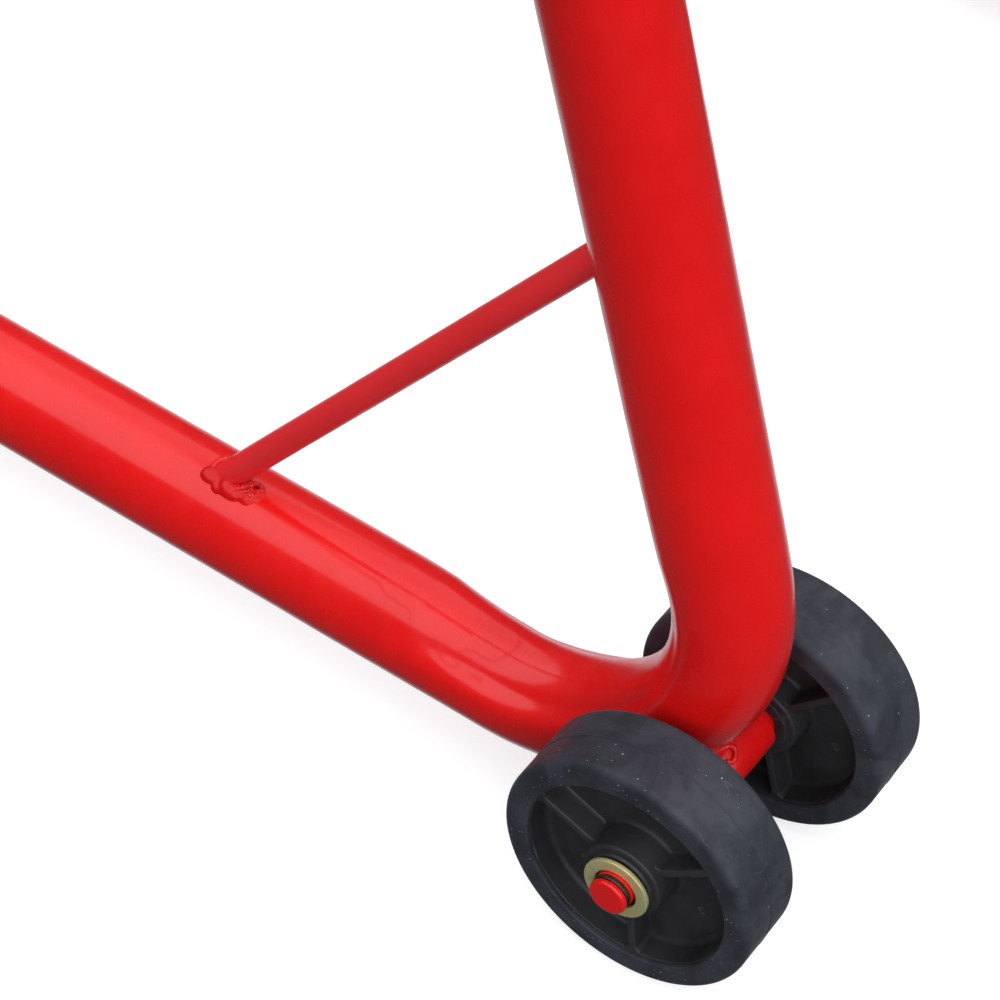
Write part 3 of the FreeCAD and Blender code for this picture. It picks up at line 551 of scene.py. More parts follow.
def metal(name, colours, roughness, marks=0.3, metallic=1.0, tint=None):
    """Plated or bare metal: cloudy tone, fine turning marks, duller spots."""
    made = Finish(name, metallic=metallic)
    made.colour = made.mix(made.cloud(0.3, 0.7, 0.22, 4, 0.6, 0.4), *colours)
    if tint:
        made.lay(made.cloud(0.5, 0.66, 0.13, 3, 0.5, 1.2, out=(0, 0.75)), tint)
    dull = made.cloud(0.56, 0.72, 0.9, 5, 0.7)
    made.lay(dull, tuple(0.4 * c for c in colours[0]), marks)
    made.lay(made.remap(made.edge, 0.53, 0.62), tuple(min(1.0, 1.4 * c) for c in colours[1]), 0.5)
    stretched = made.add("VectorMath", {0: made.place, 1: (8.0, 1.0, 1.0)}, operation="MULTIPLY")
    lines = made.noise(0.8, 3, 0.6, 0.0, stretched)
    rough = made.maths("ADD", made.remap(lines, 0.3, 0.7, *roughness), made.times(dull, 0.15))
    made.done(rough, (lines, 0.008), (made.noise(1.3, 3), 0.01))


red_paint("red_paint", ((0.775, 0.0075, 0.0065), (0.705, 0.0055, 0.006)), coat=0.34, roughness=(0.22, 0.34))
red_paint("red_paint_dull", ((0.86, 0.028, 0.033), (0.80, 0.023, 0.027)), coat=0.3, roughness=(0.32, 0.46))
# The weld's paint is a darker copy of the red paint: painted shade, for the darker surroundings its lumps
# reflect.
red_paint("red_paint_weld_shaded", ((0.66, 0.005, 0.005), (0.54, 0.0035, 0.0035)), coat=0.12, roughness=(0.2, 0.34),
          peel=8.0, specular=0.2, crest=PAINTED_HIGHLIGHT_CREST)
tyre_rubber()
# name, two colours, roughness, specular, grain and its depth
moulded("rim_plastic", ((0.0205, 0.0205, 0.0215), (0.033, 0.033, 0.0345)), (0.38, 0.52), specular=0.32)
moulded("black_plastic", ((0.012, 0.012, 0.013), (0.02, 0.02, 0.022)), (0.3, 0.42), specular=0.4)
moulded("foot_rubber", ((0.018, 0.018, 0.019), (0.03, 0.03, 0.032)), (0.55, 0.75), 0.3, 2.2, 0.05)
moulded("pad_rubber", ((0.016, 0.016, 0.017), (0.028, 0.028, 0.03)), (0.5, 0.7), 0.3, 2.4, 0.04)
moulded("grip_rubber", ((0.014, 0.014, 0.015), (0.024, 0.024, 0.026)), (0.5, 0.66), 0.32, 2.0, 0.04)
# name, two colours, roughness, share of dull marks, metallic, a cloudy tint
metal("yellow_zinc", ((0.50, 0.46, 0.19), (0.62, 0.57, 0.27)), (0.28, 0.4), 0.2, 0.4, (0.36, 0.52, 0.27))
metal("bright_zinc", ((0.56, 0.58, 0.61), (0.68, 0.70, 0.73)), (0.26, 0.4))
metal("dark_steel", ((0.05, 0.045, 0.045), (0.09, 0.08, 0.08)), (0.35, 0.5))
metal("brass", ((0.66, 0.48, 0.2), (0.76, 0.6, 0.3)), (0.25, 0.38))
SLOTS = {part["node"]: part["material_slot"] for part in frame["record"]["subparts"]}


def paint(piece, slot):
    piece.data.materials.clear()
    piece.data.materials.append(MATERIALS[slot])


def stand_in(pieces, cad_node, body="frame"):
    """New pieces stand for a CAD node: they take its material and its body, and the CAD node is hidden."""
    for piece in pieces if isinstance(pieces, list) else [pieces]:
        extra(piece, SLOTS[cad_node], body)
        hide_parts(cad_node)


def extra(piece, slot, body="frame"):
    """A piece with no CAD node of its own, such as a weld."""
    paint(piece, slot)
    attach(piece, body)


def weld(name, line, radius, seed, body="frame", **shape):
    extra(bead(name, line, radius, seed, **shape), "red_paint", body)


for cad_name, cad_object in frame["nodes"].items():
    paint(cad_object, SLOTS[cad_name])


# ---- side tubes

def tube_point(s):
    """Centre of the side tube and its inward normal, s along it from the bend's start."""
    turn = min(max(s, 0.0), BEND_LENGTH) / BEND_R
    normal = np.array([0.0, sin(turn), cos(turn)])
    point = BEND_CENTRE - normal * BEND_R
    if s < 0:
        point = point - FOOT * s
    if s > BEND_LENGTH:
        point = point + UPRIGHT * (s - BEND_LENGTH)
    return point, normal


def pressed(s, angle):
    """How much the bend has pulled the tube's wall in at a place; angle > 0 faces the other tube."""
    inner = np.interp(s, PRESS_AT, PRESS_BY)
    flat = np.where(angle > 0, np.interp(s, FLAT_AT, FLAT_TO), FLAT_OUTSIDE)
    share = np.clip((np.abs(angle) - np.radians(flat)) / radians(29), 0, 1)
    inner = inner * (1 - share * share * (3 - 2 * share))
    # The outer side dips a little at the bend's start and end.
    outer_at = np.exp(-((s + 12) / 14) ** 2) + np.exp(-((s - 119) / 14) ** 2)
    return inner + 0.4 * outer_at * np.clip(-np.cos(angle), 0, 1) ** 2


def side_tube(side):
    """The bent tube, open at its foot's end, and cut to the clamp sleeve at its top."""
    foot_start = CORNER_Y + BEND_SETBACK - FOOT_END_Y
    cut_start = BEND_LENGTH + UPRIGHT_LENGTH - BEND_SETBACK - CUT_DEPTH
    fine_start, fine_end = -84, 190
    stations = np.concatenate([np.linspace(foot_start + 1.2, fine_start, 24, endpoint=False),
                               np.arange(fine_start, fine_end, 1.5),
                               np.linspace(fine_end, cut_start, 12, endpoint=False)])
    angles = np.linspace(-pi, pi, 128, endpoint=False)
    shift = np.array([TRACK[side], 0, 0])

    def ring(s, radius, raised=0.0):
        point, normal = tube_point(s)
        out = spokes(angles, normal, ACROSS) * np.reshape(radius, (-1, 1))
        return point + shift + out + np.broadcast_to(raised, angles.shape)[:, None] * UPRIGHT

    wall = TUBE_R - 1.85
    end = [(9, wall), (0.5, wall), (0.12, wall + 0.15), (0, wall + 0.5), (0, TUBE_R - 0.6),
           (0.16, TUBE_R - 0.2), (0.55, TUBE_R)]
    rings = [ring(foot_start + at, radius) for at, radius in end]
    rings += [ring(s, TUBE_R - pressed(s, -SIDES[side] * angles)) for s in stations]
    reach = CUT_DEPTH - np.sqrt(SLEEVE_R ** 2 - (TUBE_R * np.cos(angles)) ** 2) + 0.3
    rings += [ring(cut_start, TUBE_R, reach * t) for t in np.linspace(0, 1, 12)]
    return loft(side + "_tube", rings, 50)


def foot_line(distance, x):
    return np.array([x, CORNER_Y + distance, FOOT_Z])


def upright_line(distance, x):
    return foot_line(0, x) + UPRIGHT * distance


def puddle(side):
    """Heavy weld at the brace's foot: run-together lumps with a rough crater and a pinhole."""
    along = np.arange(176, 205, 0.22)
    across = np.arange(-8, 13, 0.22)
    u, v = np.meshgrid(along, across, indexing="ij")
    edge = 0.5 * wobble(u + 0.6 * v, 51, 6) + 0.4 * wobble(v - 0.4 * u, 52, 4)
    total = np.zeros(u.shape)
    sharp, sunk = 3.6, 0.34
    for at_u, at_v, size_u, size_v, tall in PUDDLE_LUMPS:
        gap = np.hypot((u - at_u) / size_u, (v - at_v) / size_v) * (1 + 0.06 * edge)
        total += np.exp(sharp * tall * np.clip(1 - gap ** 4, -3, 1))
    height = np.log(total) / sharp - sunk
    rough = np.exp(-((u - 186.0) ** 2 + (v - 1.9) ** 2) / 17.0)
    crinkle = wobble(u * 1.1 + v * 0.6, 53, 1.5, 7) * wobble(v * 1.2 - u * 0.5, 54, 1.3, 7)
    height += rough * (0.55 * crinkle + 0.3 * wobble(u - v, 55, 2.2, 5) - 0.25)
    height -= 3.2 * np.exp(-((u - 184.3) ** 2 + (v - 0.6) ** 2) / 0.5)
    height += 0.08 * wobble(u, 56, 5) + 0.08 * wobble(v, 57, 4)
    under = -1.0
    height = np.maximum(height, under)
    height[[0, -1]] = under
    height[:, [0, -1]] = under
    angle = v / TUBE_R
    radius = TUBE_R + height
    sign = SIDES[side]
    x = sign * (HALF_TRACK + radius * np.sin(angle))
    verts = np.stack([x, CORNER_Y + u, FOOT_Z + radius * np.cos(angle)], -1).reshape(-1, 3)
    # Two points inside the tube close the patch from below.
    inside = [(TRACK[side], CORNER_Y + along[i], FOOT_Z + 12.0) for i in (0, -1)]
    first, last = len(verts), len(verts) + 1
    rows, cols = u.shape
    end_row = (rows - 1) * cols
    faces = [(i + j, i + j + 1, i + cols + j + 1, i + cols + j)
             for i in range(0, end_row, cols) for j in range(cols - 1)]
    faces += [(j, j + 1, first) for j in range(cols - 1)]
    faces += [(end_row + j, end_row + j + 1, last) for j in range(cols - 1)]
    faces += [(i + j, i + cols + j, first) for i in range(0, end_row, cols) for j in (0, cols - 1)]
    faces += [(end_row, last, first), (end_row + cols - 1, last, first)]
    return add_mesh(side + "_brace_foot_puddle", np.concatenate([verts, inside]), faces, 180, False)


def brace(side):
    """Brace rod between the legs, its two welds, and the heavier lump at the foot end."""
    x = TRACK[side]
    foot_end, top_end = foot_line(206.4, x), upright_line(205.2, x)
    length = np.linalg.norm(top_end - foot_end)
    along = (top_end - foot_end) / length
    at = np.linspace(10, length - 10, 80)
    bar = rod(side + "_brace", foot_end + at[:, None] * along, 4.4, ACROSS, 48)
    stand_in(bar, side + "_brace_rod")
    paint(bar, "red_paint_dull")
    low = saddle(foot_end + along * 80, -along, 4.9, foot_line(0, x), FOOT)
    high = saddle(top_end - along * 80, along, 4.7, upright_line(0, x), UPRIGHT)
    weld(side + "_brace_foot_weld", low, 1.0, 3, lump=0.2)
    lump = puddle(side)
    extra(lump, "red_paint")
    # The lump takes the darker weld paint: painted shade.
    paint(lump, "red_paint_weld_shaded")
    # A small dark bead down in the pinhole: painted shade, so that the hole reads dark.
    pinhole_shade_points = [(x, CORNER_Y + u, FOOT_Z + TUBE_R + 0.55) for u in (183.7, 184.0, 184.4, 184.7)]
    extra(bead(side + "_brace_pinhole", pinhole_shade_points, 0.5, 61, False), "dark_steel")
    weld(side + "_brace_top_weld", high, 1.5, 5, lump=0.16)


def axle_group(side):
    """The axle's tube and bar, and a washer and a retaining ring at each end."""
    centre = np.array([TRACK[side], AXLE_Y, AXLE_Z])
    sleeve = [(-19.9, 6.3), (-19.9, 8.0, 1.3), (19.9, 8.0, 1.3), (19.9, 6.3)]
    stand_in(lathe(side + "_axle_sleeve", sleeve, centre, soft=6), side + "_axle_tube")
    half = [(52.5, 5.9, 0.35), (52.5, 4.9, 0.1), (54.3, 4.9, 0.1), (54.3, 5.8, 0.35), (56.1, 5.8, 1.6),
            (56.1, 0.0)]
    right_half = rounded(half, False, 6)
    profile = np.concatenate([right_half[::-1] * (-1, 1), right_half])
    stand_in(lathe(side + "_axle_bar", profile, centre, False, 80), side + "_axle")
    hang = (0, 0, 0.58)
    washer = [(50.3, 6.6, 0.2), (51.6, 6.6, 0.3), (51.6, 10.25, 0.4), (50.3, 10.25, 0.2)]
    clip = [(52.6, 5.0, 0.1), (54.15, 5.0, 0.1), (54.15, 5.95, 0.45), (52.6, 5.95, 0.45)]
    gap = (radians(-68), radians(248))
    for number, away in enumerate((1, -1)):
        stand_in(lathe(f"{side}_axle_washer_{number}", washer, centre - hang, away=away),
                 side + "_axle_washers")
        stand_in(lathe(f"{side}_axle_ring_{number}", clip, centre, away=away, arc=gap, steps=72),
                 side + "_axle_rings")


def axle_welds(side):
    """The bead where the axle's tube meets the bend, and the curl that it ends in."""
    sign = SIDES[side]
    x = TRACK[side]
    base = atan2(AXLE_Z - BEND_CENTRE[2], AXLE_Y - BEND_CENTRE[1])
    line = []
    for step in circle(96):
        angle = base + pi + radians(38) * sin(step)
        y = AXLE_Y + 8.2 * cos(angle)
        z = AXLE_Z + 8.2 * sin(angle)
        depth = hypot(y - BEND_CENTRE[1], z - BEND_CENTRE[2]) - BEND_R
        across = sqrt(max(TUBE_R ** 2 - depth ** 2, 0)) if depth < TUBE_R else 0
        line.append((x + copysign(max(across, 4.0) + 1.2, cos(step)) * abs(cos(step)) ** 0.5, y, z))
    weld(side + "_axle_weld", line, 1.5, 11, lump=0.2)
    curl = [(-3.0, 74), (-0.7, 84), (1.6, 91), (3.4, 99), (3.9, 108), (3.1, 117), (1.6, 123), (0.2, 124),
            (-0.9, 119), (-1.5, 111)]
    line = [(x - sign * off, AXLE_Y + 8.15 * cos(radians(angle)), AXLE_Z + 8.15 * sin(radians(angle)))
            for off, angle in curl]
    weld(side + "_axle_weld_end", line, 0.9, 13, closed=False, ripple=1.2)


# ---- wheels

RIM_HALF = 11.0
RIB_PHASE = {"outer": radians(20), "inner": radians(12)}


def rib(name, centre, away, face, angle):
    """One rib of a rim, flared at its foot and at both ends."""
    start, end, foot, top, flare_r = 12.0, 32.4, 3.1, RIM_HALF - 0.15, 1.5
    spoke = REARWARD * cos(angle) + UP * sin(angle)
    sideways = UP * cos(angle) - REARWARD * sin(angle)
    rings = []
    for r in np.ravel([np.linspace(*part, 8)
                       for part in ((start, start + 3), (start + 4, end - 4), (end - 3, end))]):
        ends = [d for d in (r - start - 0.4, end - 1.2 - r) if d >= 0]
        flare = sum(flare_r * (1 - sqrt(1 - (1 - min(d, flare_r) / flare_r) ** 2)) for d in ends)
        if len(ends) < 2:
            flare += flare_r
        half = 1.35 + flare
        outline = [(half + 1.3, foot), (half + 0.5, foot + 0.4), (half + 0.12, foot + 1.2),
                   (half, foot + 2.6), (half - 0.08, top - 1.4), (half - 0.13, top - 0.5),
                   (half - 0.3, top - 0.15), (half - 0.6, top)]
        rings.append([centre + ACROSS * (away * face * v) + spoke * r + sideways * u
                      for u, v in outline + [(-u, v) for u, v in outline[::-1]]])
    return loft(name, rings, 50)


def join(name, pieces):
    """One object from several, their meshes kept as they are."""
    verts, faces, base = [], [], 0
    for piece in pieces:
        mesh = piece.data
        verts += [tuple(v.co / MM) for v in mesh.vertices]
        faces += [tuple(base + i for i in polygon.vertices) for polygon in mesh.polygons]
        base += len(mesh.vertices)
        bpy.data.objects.remove(piece)
    return add_mesh(name, verts, faces, 45)


def wheel(side, place):
    body = f"{side}_{place}_wheel"
    away = SIDES[side] * (1 if place == "outer" else -1)
    centre = np.array([TRACK[side] + away * 35.0, AXLE_Y, AXLE_Z])
    core = [(-12.9, 6.2, 0.3), (-12.9, 9.4, 0.3), (-12.5, 9.9, 0.3), (-12.5, 12.4, 0.9), (-3.4, 12.9, 1.6),
            (-3.4, 30.9, 2.0), (-RIM_HALF, 31.6, 0.5), (-RIM_HALF, 34.1), (RIM_HALF, 34.1),
            (RIM_HALF, 31.6, 0.5), (3.4, 30.9, 2.0), (3.4, 12.9, 1.6), (13.6, 12.4, 0.9), (13.6, 9.9, 0.3),
            (14.35, 9.4, 0.3), (14.35, 6.2, 0.3)]
    pieces = [lathe(body + "_core", core, centre, away=away, steps=128, soft=5)]
    pin = [(2.0, 0.0), (3.65, 0.0), (3.65, 1.7, 0.15), (2.0, 1.7)]
    for face in (1, -1):
        for number in range(3):
            angle = RIB_PHASE[place] + 2 * pi / 3 * number
            pieces.append(rib(f"{body}_rib_{face + 1}_{number}", centre, away, face, angle))
            spot = angle + pi / 3
            pieces.append(lathe(f"{body}_pin_{face + 1}_{number}", pin,
                                centre + (0, 22 * cos(spot), 22 * sin(spot)), False, 20, away * face))
    stand_in(join(body + "_rim", pieces), f"{side}_{place}_rim", body)
    tread = [(-12.5, 39.85, 2.5), (-12.5, 32.0, 0.7), (-11.0, 32.0, 0.2), (-11.0, 33.9), (11.0, 33.9),
             (11.0, 32.0, 0.2), (12.5, 32.0, 0.7), (12.5, 39.85, 2.5), (0.62, 39.85, 0.1), (0.4, 39.7, 0.1),
             (0.22, 39.98, 0.1), (-0.05, 39.98, 0.1), (-0.3, 39.85, 0.2)]
    tyre = lathe(body + "_tyre", tread, centre, away=away, steps=192, soft=7)
    stand_in(tyre, f"{side}_{place}_tyre", body)


# ---- foot pads, crossbar, handle

def foot_pad(side):
    """A rubber block under the foot tube, with two grooves a side."""
    low, high = span(side + "_foot_pad")
    mid_y, half_y = (low[1] + high[1]) / 2, (high[1] - low[1]) / 2
    corner = 3
    rings = []
    for d in np.concatenate([np.linspace(0, corner, 8), np.linspace(corner, half_y, 8)[1:]]):
        half = 22 - round_in(d, corner)
        rise = 0.8 * max(0, 1 - d / 0.8)
        wall = [(half - 0.8, rise, 0.2), (half, rise + 0.8, 0.3)]
        for groove in (6.0, 12.0):
            wall += [(half, groove - 1.1, 0.2), (half - 1.0, groove, 0.4), (half, groove + 1.1, 0.2)]
        wall += [(half, 29.0, 0.3), (half - 1.0, 30.0 - rise, 0.3), (TUBE_R + 0.3, 30.0 - rise, 0.0)]
        arc = [(TUBE_R * sin(a), FOOT_Z - TUBE_R * cos(a) - 0.02, 0.0)
               for a in np.linspace(pi / 2, -pi / 2, 40)]
        points = rounded(wall + arc + [(-u, v, r) for u, v, r in wall[::-1]], True, 3)
        rings.append(points[:, :1] * ACROSS + points[:, 1:] * UP + (TRACK[side], mid_y - half_y + d, 0))
    rings += [ring * (1, -1, 1) + (0, 2 * mid_y, 0) for ring in rings[-2::-1]]
    stand_in(loft(side + "_foot", rings, 40), side + "_foot_pad")


def crossbar():
    half = HALF_TRACK - 6
    points = np.linspace(-half, half, 60)[:, None] * ACROSS + CROSSBAR * (0, 1, 1)
    stand_in(rod("crossbar", points, 15.0, UP, 96), "rear_crossbar")
    for side, sign in SIDES.items():
        line = saddle(CROSSBAR * (0, 1, 1), ACROSS * sign, 15.4, foot_line(0, TRACK[side]), FOOT)
        weld(side + "_crossbar_weld", line, 2.0, 21 + sign)


def handle():
    low, high = span("handle_grip")
    grip_y, grip_z = middle("handle_grip")[1:]
    kink_y = grip_y - (grip_z - FOOT_Z) / tan(radians(35))
    half = [(HALF_TRACK, FOOT_END_Y - 60, FOOT_Z), (HALF_TRACK, kink_y, FOOT_Z), (HALF_TRACK, grip_y, grip_z)]
    line = bent_line([(-x, y, z) for x, y, z in half] + half[::-1], 60.0, 2.5)
    stand_in(rod("hoop", line, 15.45, ACROSS, 96), "handle_hoop")
    end, collar, crest, root = (high[0] - low[0]) / 2, 19.0, 18.7, 17.9
    profile = [(-end, 15.6), (-end, collar, 1.6), (5 - end, collar, 1.0), (6 - end, root, 0.5)]
    for at in np.arange(9 - end, end - 8, 4.0):
        profile += [(at, root, 0.5), (at + 0.7, crest, 0.5), (at + 2.0, crest, 0.5), (at + 2.7, root, 0.5)]
    profile += [(end - 6, root, 0.5), (end - 5, collar, 1.0), (end, collar, 1.6), (end, 15.6)]
    stand_in(lathe("grip", profile, (0, grip_y, grip_z), crease=50, soft=2), "handle_grip")


def handle_bolts():
    """A bolt through each foot tube, with its washers and nut."""
    y = middle("handle_bolts")[1]
    face = TUBE_R + 1.6
    washer = [(0, 4.2, 0.15), (1.6, 4.2, 0.2), (1.6, 8, 0.4), (0, 8, 0.15)]
    collar = [(4.4, 4.1, 0.2), (4.4, 6.1), (6.2, 5.9, 0.8), (6.8, 5.0, 0.4), (6.8, 4.1, 0.2)]
    for side, sign in SIDES.items():
        out = ACROSS * sign

        def at(distance):
            return np.array([sign * (HALF_TRACK + distance), y, FOOT_Z])

        head = prism(side + "_bolt_head", hexagon(13, 0.5), at(face), out, UP, 5.3, 0.7)
        tip = thread(side + "_bolt_tip", at(face - 50), out, UP, 12.0, 4.0, 1.25)
        stand_in([head, tip], "handle_bolts")
        nut = prism(side + "_bolt_nut", hexagon(13, 0.5), at(-face), -out, UP, 5.0, 0.6, 3.9)
        stand_in([nut, lathe(side + "_bolt_nut_collar", collar, at(-face), steps=48, away=-sign)],
                 "handle_nuts")
        for number, way in enumerate((1, -1)):
            ring = lathe(f"{side}_bolt_washer_{number}", washer, at(way * TUBE_R), steps=64, away=sign * way)
            stand_in(ring, "handle_washers")


def foot_screws():
    y = middle("left_foot_pad")[1]
    disc = np.array([(6 * cos(a), 6 * sin(a)) for a in circle(48)])
    for side in SIDES:
        head = prism(side + "_foot_screw", disc, (TRACK[side], y, 2.4), UP, REARWARD, 3.6, 1.0)
        stand_in(head, "foot_screws")


# ---- clamp, bar, cradle

def clamp(side):
    centre = np.array([TRACK[side], BAR_Y, BAR_Z])
    sleeve = [(-25, 10.15, 0.6), (25, 10.15, 0.6), (25, SLEEVE_R, 1.2), (-25, SLEEVE_R, 1.2)]
    stand_in(lathe(side + "_sleeve", sleeve, centre, steps=128), side + "_clamp_sleeve")
    skin = SLEEVE_R + 0.1
    forward = np.array([0, UPRIGHT[2], -UPRIGHT[1]])
    tube_r = TUBE_R + 0.4
    under = [centre - UPRIGHT * sqrt(max(skin ** 2 - (tube_r * cos(a)) ** 2, 0))
             + forward * (tube_r * cos(a)) + ACROSS * (tube_r * sin(a)) for a in circle(120)]
    weld(side + "_sleeve_weld", under, 1.9, 31)
    nut = prism(side + "_nut", hexagon(17, 0.6), centre + REARWARD * 14, REARWARD, UP, 12, 0.7, 5.1)
    stand_in(nut, side + "_clamp_nut")
    seam = [centre + (9.4 * cos(a), sqrt(skin ** 2 - (9.4 * sin(a)) ** 2), 9.4 * sin(a)) for a in circle(80)]
    weld(side + "_nut_weld", seam, 1.3, 37, ripple=1.4)
    screw = thread(side + "_screw", centre + REARWARD * 12.95, REARWARD, UP, 20.0, 5.0, 1.5, 0.7)
    stand_in(screw, side + "_clamp_screw", side + "_clamp_handle")
    stand_in(knob(side, centre), side + "_clamp_knob", side + "_clamp_handle")


def knob(side, centre):
    """Star knob: five lobes, soft rims, a dished face with a raised cap."""
    count, lobes, hollow_at, hollow_r = 200, 5, 27.5, 10.0
    angles = circle(count)
    radii = np.full(count, 22.0)
    for number in range(lobes):
        turned = np.cos(angles - 2 * pi * number / lobes)
        inside = hollow_at ** 2 * turned ** 2 - (hollow_at ** 2 - hollow_r ** 2)
        near = hollow_at * turned - np.sqrt(np.maximum(inside, 0))
        radii = np.where((inside > 0) & (turned > 0), np.minimum(radii, near), radii)
    kernel = np.hanning(11)
    radii = np.convolve(np.concatenate([radii[-8:], radii, radii[:8]]), kernel / kernel.sum(), "same")[8:-8]
    outline = np.stack([radii * np.cos(angles), radii * np.sin(angles)], -1)
    normal = outward(outline)

    def ring(inset, y):
        flat = outline - normal * inset
        return centre + REARWARD * y + flat[:, :1] * ACROSS + flat[:, 1:] * UP

    def disc(radius, y):
        return centre + REARWARD * y + spokes(angles, ACROSS, UP) * radius

    front, back, soft = 31, 46.5, 2.5
    quarter = np.linspace(0, pi / 2, 6)
    rings = [disc(*at) for at in ((5.1, 28.4), (8.6, 28.0), (9.6, 28.3), (10.0, 28.9), (10.0, 30.4),
                                  (10.5, 31.0))]
    rings += [ring(soft * (1 - sin(a)), front + soft * (1 - cos(a))) for a in quarter]
    rings += [ring(0, front + soft + (back - front - soft) * t) for t in (0.25, 0.5, 0.75)]
    rings += [ring(soft * (1 - cos(a)), back + soft * sin(a)) for a in quarter]
    rings += [disc(*at) for at in ((11.8, 49.0), (11.2, 48.8), (10.8, 48.2), (10.3, 48.1), (9.9, 48.3),
                                   (9.4, 48.75), (8.6, 48.95), (3.0, 49.0))]
    return loft(side + "_knob", rings, 50)


def cradle_line(sign, offset, bend, inner_end, top, corner, step):
    """Middle line of the bent plate or pad, offset from the plate's outside."""
    outer, bottom = 160 - offset, 12 + offset
    arc = [(outer - bend + bend * sin(a), bottom + bend - bend * cos(a)) for a in np.linspace(0, pi / 2, 14)]
    line = [(inner_end, bottom)] + arc + [(outer, top)]
    points, at, length = resample([(sign * u, BAR_Y, BAR_Z + v) for u, v in line], 0.1, False)
    near_end = corner * (1 - np.cos(np.linspace(0, pi / 2, 20)))
    between = np.arange(corner + step, length - corner - step / 2, step)
    wanted = np.concatenate([near_end, between, (length - near_end)[::-1]])
    return place_on(points, at, wanted), wanted, length


def cradle(side):
    sign = SIDES[side]
    body = side + "_cradle"
    hub = [(108, 8.15, 0.4), (157, 8.15, 0.4), (157, 13, 0.9), (108, 13, 0.9)]
    stand_in(lathe(side + "_hub", hub, (0, BAR_Y, BAR_Z), away=sign), side + "_cradle_hub", body)
    plate_corner, pad_corner = 10.0, 8.0
    plate = cradle_line(sign, 2.5, 5.5, 105.0, 55.0, plate_corner, 0.5)
    pad = cradle_line(sign, 8.0, 3.3, 107.0, 53.0, pad_corner, 0.35)

    def width(line, half, corner):
        return lambda s: half - round_in(min(s, line[2] - s), corner)

    def pad_thickness(s):
        groove = 0.0
        if 5 < s < pad[2] - 4 and not 34 < s < 47:
            groove = max(0.0, 1 - abs((s - 7) % 5 - 2.5) / 0.75)
        cut = 0.9 * min(1, groove * 1.6)
        return (-3.0, 3.0 - cut) if sign > 0 else (-3.0 + cut, 3.0)

    made = slab(side + "_plate", plate, width(plate, 30, plate_corner), lambda s: (-2.5, 2.5), 0.7)
    stand_in(made, side + "_cradle_plate", body)
    made = slab(side + "_pad", pad, width(pad, 28, pad_corner), pad_thickness, 0.9)
    stand_in(made, side + "_cradle_pad", body)
    for number, offset in enumerate((-20, 20)):
        seat = np.array([sign * 128.0, BAR_Y + offset, BAR_Z + 17])
        wall = spokes(circle(48), ACROSS, REARWARD) * 5.2 + seat
        carve(made, loft("cutter", [wall + UP * 2.8, wall + UP * 11.8]))
        head = button_head(f"{side}_pad_screw_{number}", seat + UP * 2.8, UP, REARWARD, 4.75, 2.6, 1.5)
        tip = thread(f"{side}_pad_screw_tip_{number}", seat - UP * 10, UP, REARWARD, 7.0, 2.5, 0.8, 0.3, 28)
        stand_in([head, tip], side + "_cradle_screws", body)
        nut = prism(f"{side}_pad_nut_{number}", hexagon(8, 0.3), seat - UP * 5, -UP, REARWARD, 4.0, 0.4, 2.4)
        stand_in(nut, side + "_cradle_nuts", body)
    for number, edge in enumerate((-1, 1)):
        line = [(sign * u, BAR_Y + edge * 6.6, BAR_Z + 12.0) for u in np.linspace(109.5, 155.5, 30)]
        weld(f"{side}_hub_weld_{number}", line, 2.1, 41 + edge, body, closed=False)


def carve(piece, cutter):
    """Cuts one mesh out of another for good."""
    modifier = piece.modifiers.new("cut", "BOOLEAN")
    modifier.object = cutter
    modifier.solver = "EXACT"
    piece.modifiers.move(len(piece.modifiers) - 1, 0)
    bpy.context.view_layer.update()
    weighted = piece.modifiers["normals"]
    weighted.show_viewport = False
    graph = bpy.context.evaluated_depsgraph_get()
    piece.data = bpy.data.meshes.new_from_object(piece.evaluated_get(graph))
    piece.modifiers.remove(modifier)
    weighted.show_viewport = True
    bpy.data.objects.remove(cutter)


def bar_end(side):
    """Washer and button-head screw on the spigot's end."""
    sign = SIDES[side]
    body = side + "_adapter"
    washer = [(105.6, 4.2, 0.2), (107.6, 4.2, 0.2), (107.6, 11, 0.3), (105.6, 11, 0.5)]
    stand_in(lathe(side + "_bar_washer", washer, (0, BAR_Y, BAR_Z), steps=72, away=sign),
             side + "_end_washer", body)
    seat = np.array([sign * 105.6, BAR_Y, BAR_Z])
    screw = button_head(side + "_bar_screw", seat, -sign * ACROSS, UP, 7.0, 4.4, 2.5)
    stand_in(screw, side + "_end_screw", body)


for each in SIDES:
    stand_in(side_tube(each), each + "_side_tube")
    brace(each)
    axle_group(each)
    axle_welds(each)
    for each_place in RIB_PHASE:
        wheel(each, each_place)
    foot_pad(each)
    clamp(each)
    cradle(each)
    bar_end(each)
crossbar()
handle()
handle_bolts()
foot_screws()


# ---- stage, light, camera

def placed(data, right, up, back, place):
    """A light or camera at a place in metres, looking the other way from back."""
    made = bpy.data.objects.new(data.name, data)
    bpy.context.scene.collection.objects.link(made)
    matrix = np.eye(4)
    matrix[:3] = np.column_stack([right, up, back, place])
    made.matrix_world = matrix.T
    return made


def stage():
    """A pale matt floor that glows a little, to meet the white background."""
    corners = np.array([(-1, -1, 0), (1, -1, 0), (1, 1, 0), (-1, 1, 0)]) * FLOOR_HALF / MM
    floor = add_mesh("floor", corners, [(0, 1, 2, 3)], weighted=False)
    made = Finish("floor", specular=0.1)
    made.colour = made.mix(made.noise(0.004, 3), (0.46, 0.46, 0.46), (0.50, 0.50, 0.50))
    made.done(0.9)
    made.feed(made.sockets["Emission Color"], (1, 1, 1))
    made.feed(made.sockets["Emission Strength"], FLOOR_GLOW)
    paint(floor, "floor")
    floor.visible_glossy = False
    floor.visible_diffuse = False


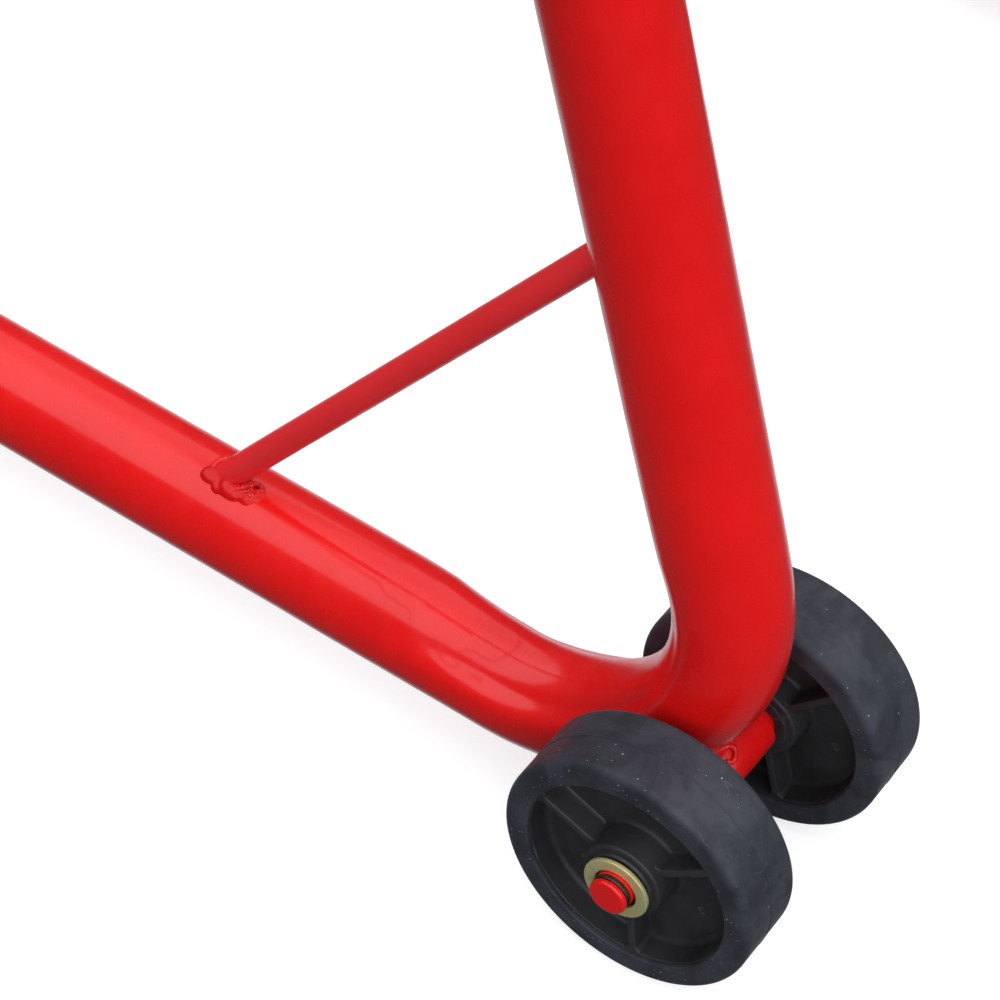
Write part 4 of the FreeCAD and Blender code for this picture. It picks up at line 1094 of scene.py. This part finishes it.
def sky():
    """A soft dome: bright above, open towards the front, dim near the floor behind."""
    world = bpy.data.worlds.new("dome")
    bpy.context.scene.world = world
    world.use_nodes = True
    dome = Nodes(world.node_tree)
    way = dome.place = dome.add("TexCoord", {}, "Generated")
    x, y, z = dome.add("SeparateXYZ", {0: way}, None)

    def towards(direction):
        return dome.add("VectorMath", {0: way, 1: direction}, "Value", operation="DOT_PRODUCT")

    low_edge = 0.1
    ragged = dome.times(dome.maths("SUBTRACT", dome.noise(9, 3), 0.5), 0.05)
    edge = dome.maths("SUBTRACT", dome.maths("MULTIPLY_ADD", x, -0.1, 0.5), low_edge)
    edge = dome.maths("MULTIPLY_ADD", edge, dome.remap(y, -0.35, 0.1), low_edge)
    height = dome.maths("SUBTRACT", dome.maths("SUBTRACT", z, edge), ragged)
    bright = dome.times(dome.remap(height, 0.0, 0.07), dome.remap(x, 0.1, 0.5, 1.75, 0.98))
    gap = dome.remap(dome.maths("ABSOLUTE", towards(DIM_STRIP)), 0.008, 0.022)
    bright = dome.times(bright, dome.maths("MULTIPLY_ADD", gap, 0.85, 0.15))
    total = dome.maths("ADD", bright, dome.remap(towards(PALE_GROUND), 0.80, 0.95, 0.1, 0.75))
    seen = dome.add("LightPath", {}, "Is Camera Ray")
    total = dome.maths("MAXIMUM", total, dome.times(seen, BACKDROP))
    dome.add("OutputWorld", {0: dome.add("Background", {"Color": (0.97, 0.985, 1.05), "Strength": total})})


def side_light():
    """A large soft panel low on the right, for diffuse light only."""
    data = bpy.data.lights.new("panel", "AREA")
    data.shape = "DISK"
    data.size = PANEL_SIZE
    data.energy = PANEL_WATTS
    back = unit(PANEL_AT)
    right = unit(np.cross(UP, back))
    placed(data, right, np.cross(back, right), back, PANEL_AT).visible_glossy = False


def camera():
    """The photograph's viewing angle, worked out from its tubes and wheels."""
    data = bpy.data.cameras.new("camera")
    data.lens = 121.98
    data.sensor_width = 36
    data.clip_start, data.clip_end = 0.01, 200
    place = np.array([-HALF_TRACK, AXLE_Y, AXLE_Z]) + CAMERA_FROM_AXLE
    bpy.context.scene.camera = placed(data, CAMERA_RIGHT, CAMERA_UP, CAMERA_BACK, place * MM)


stage()
sky()
side_light()
camera()
bpy.context.scene.view_settings.view_transform = "Standard"
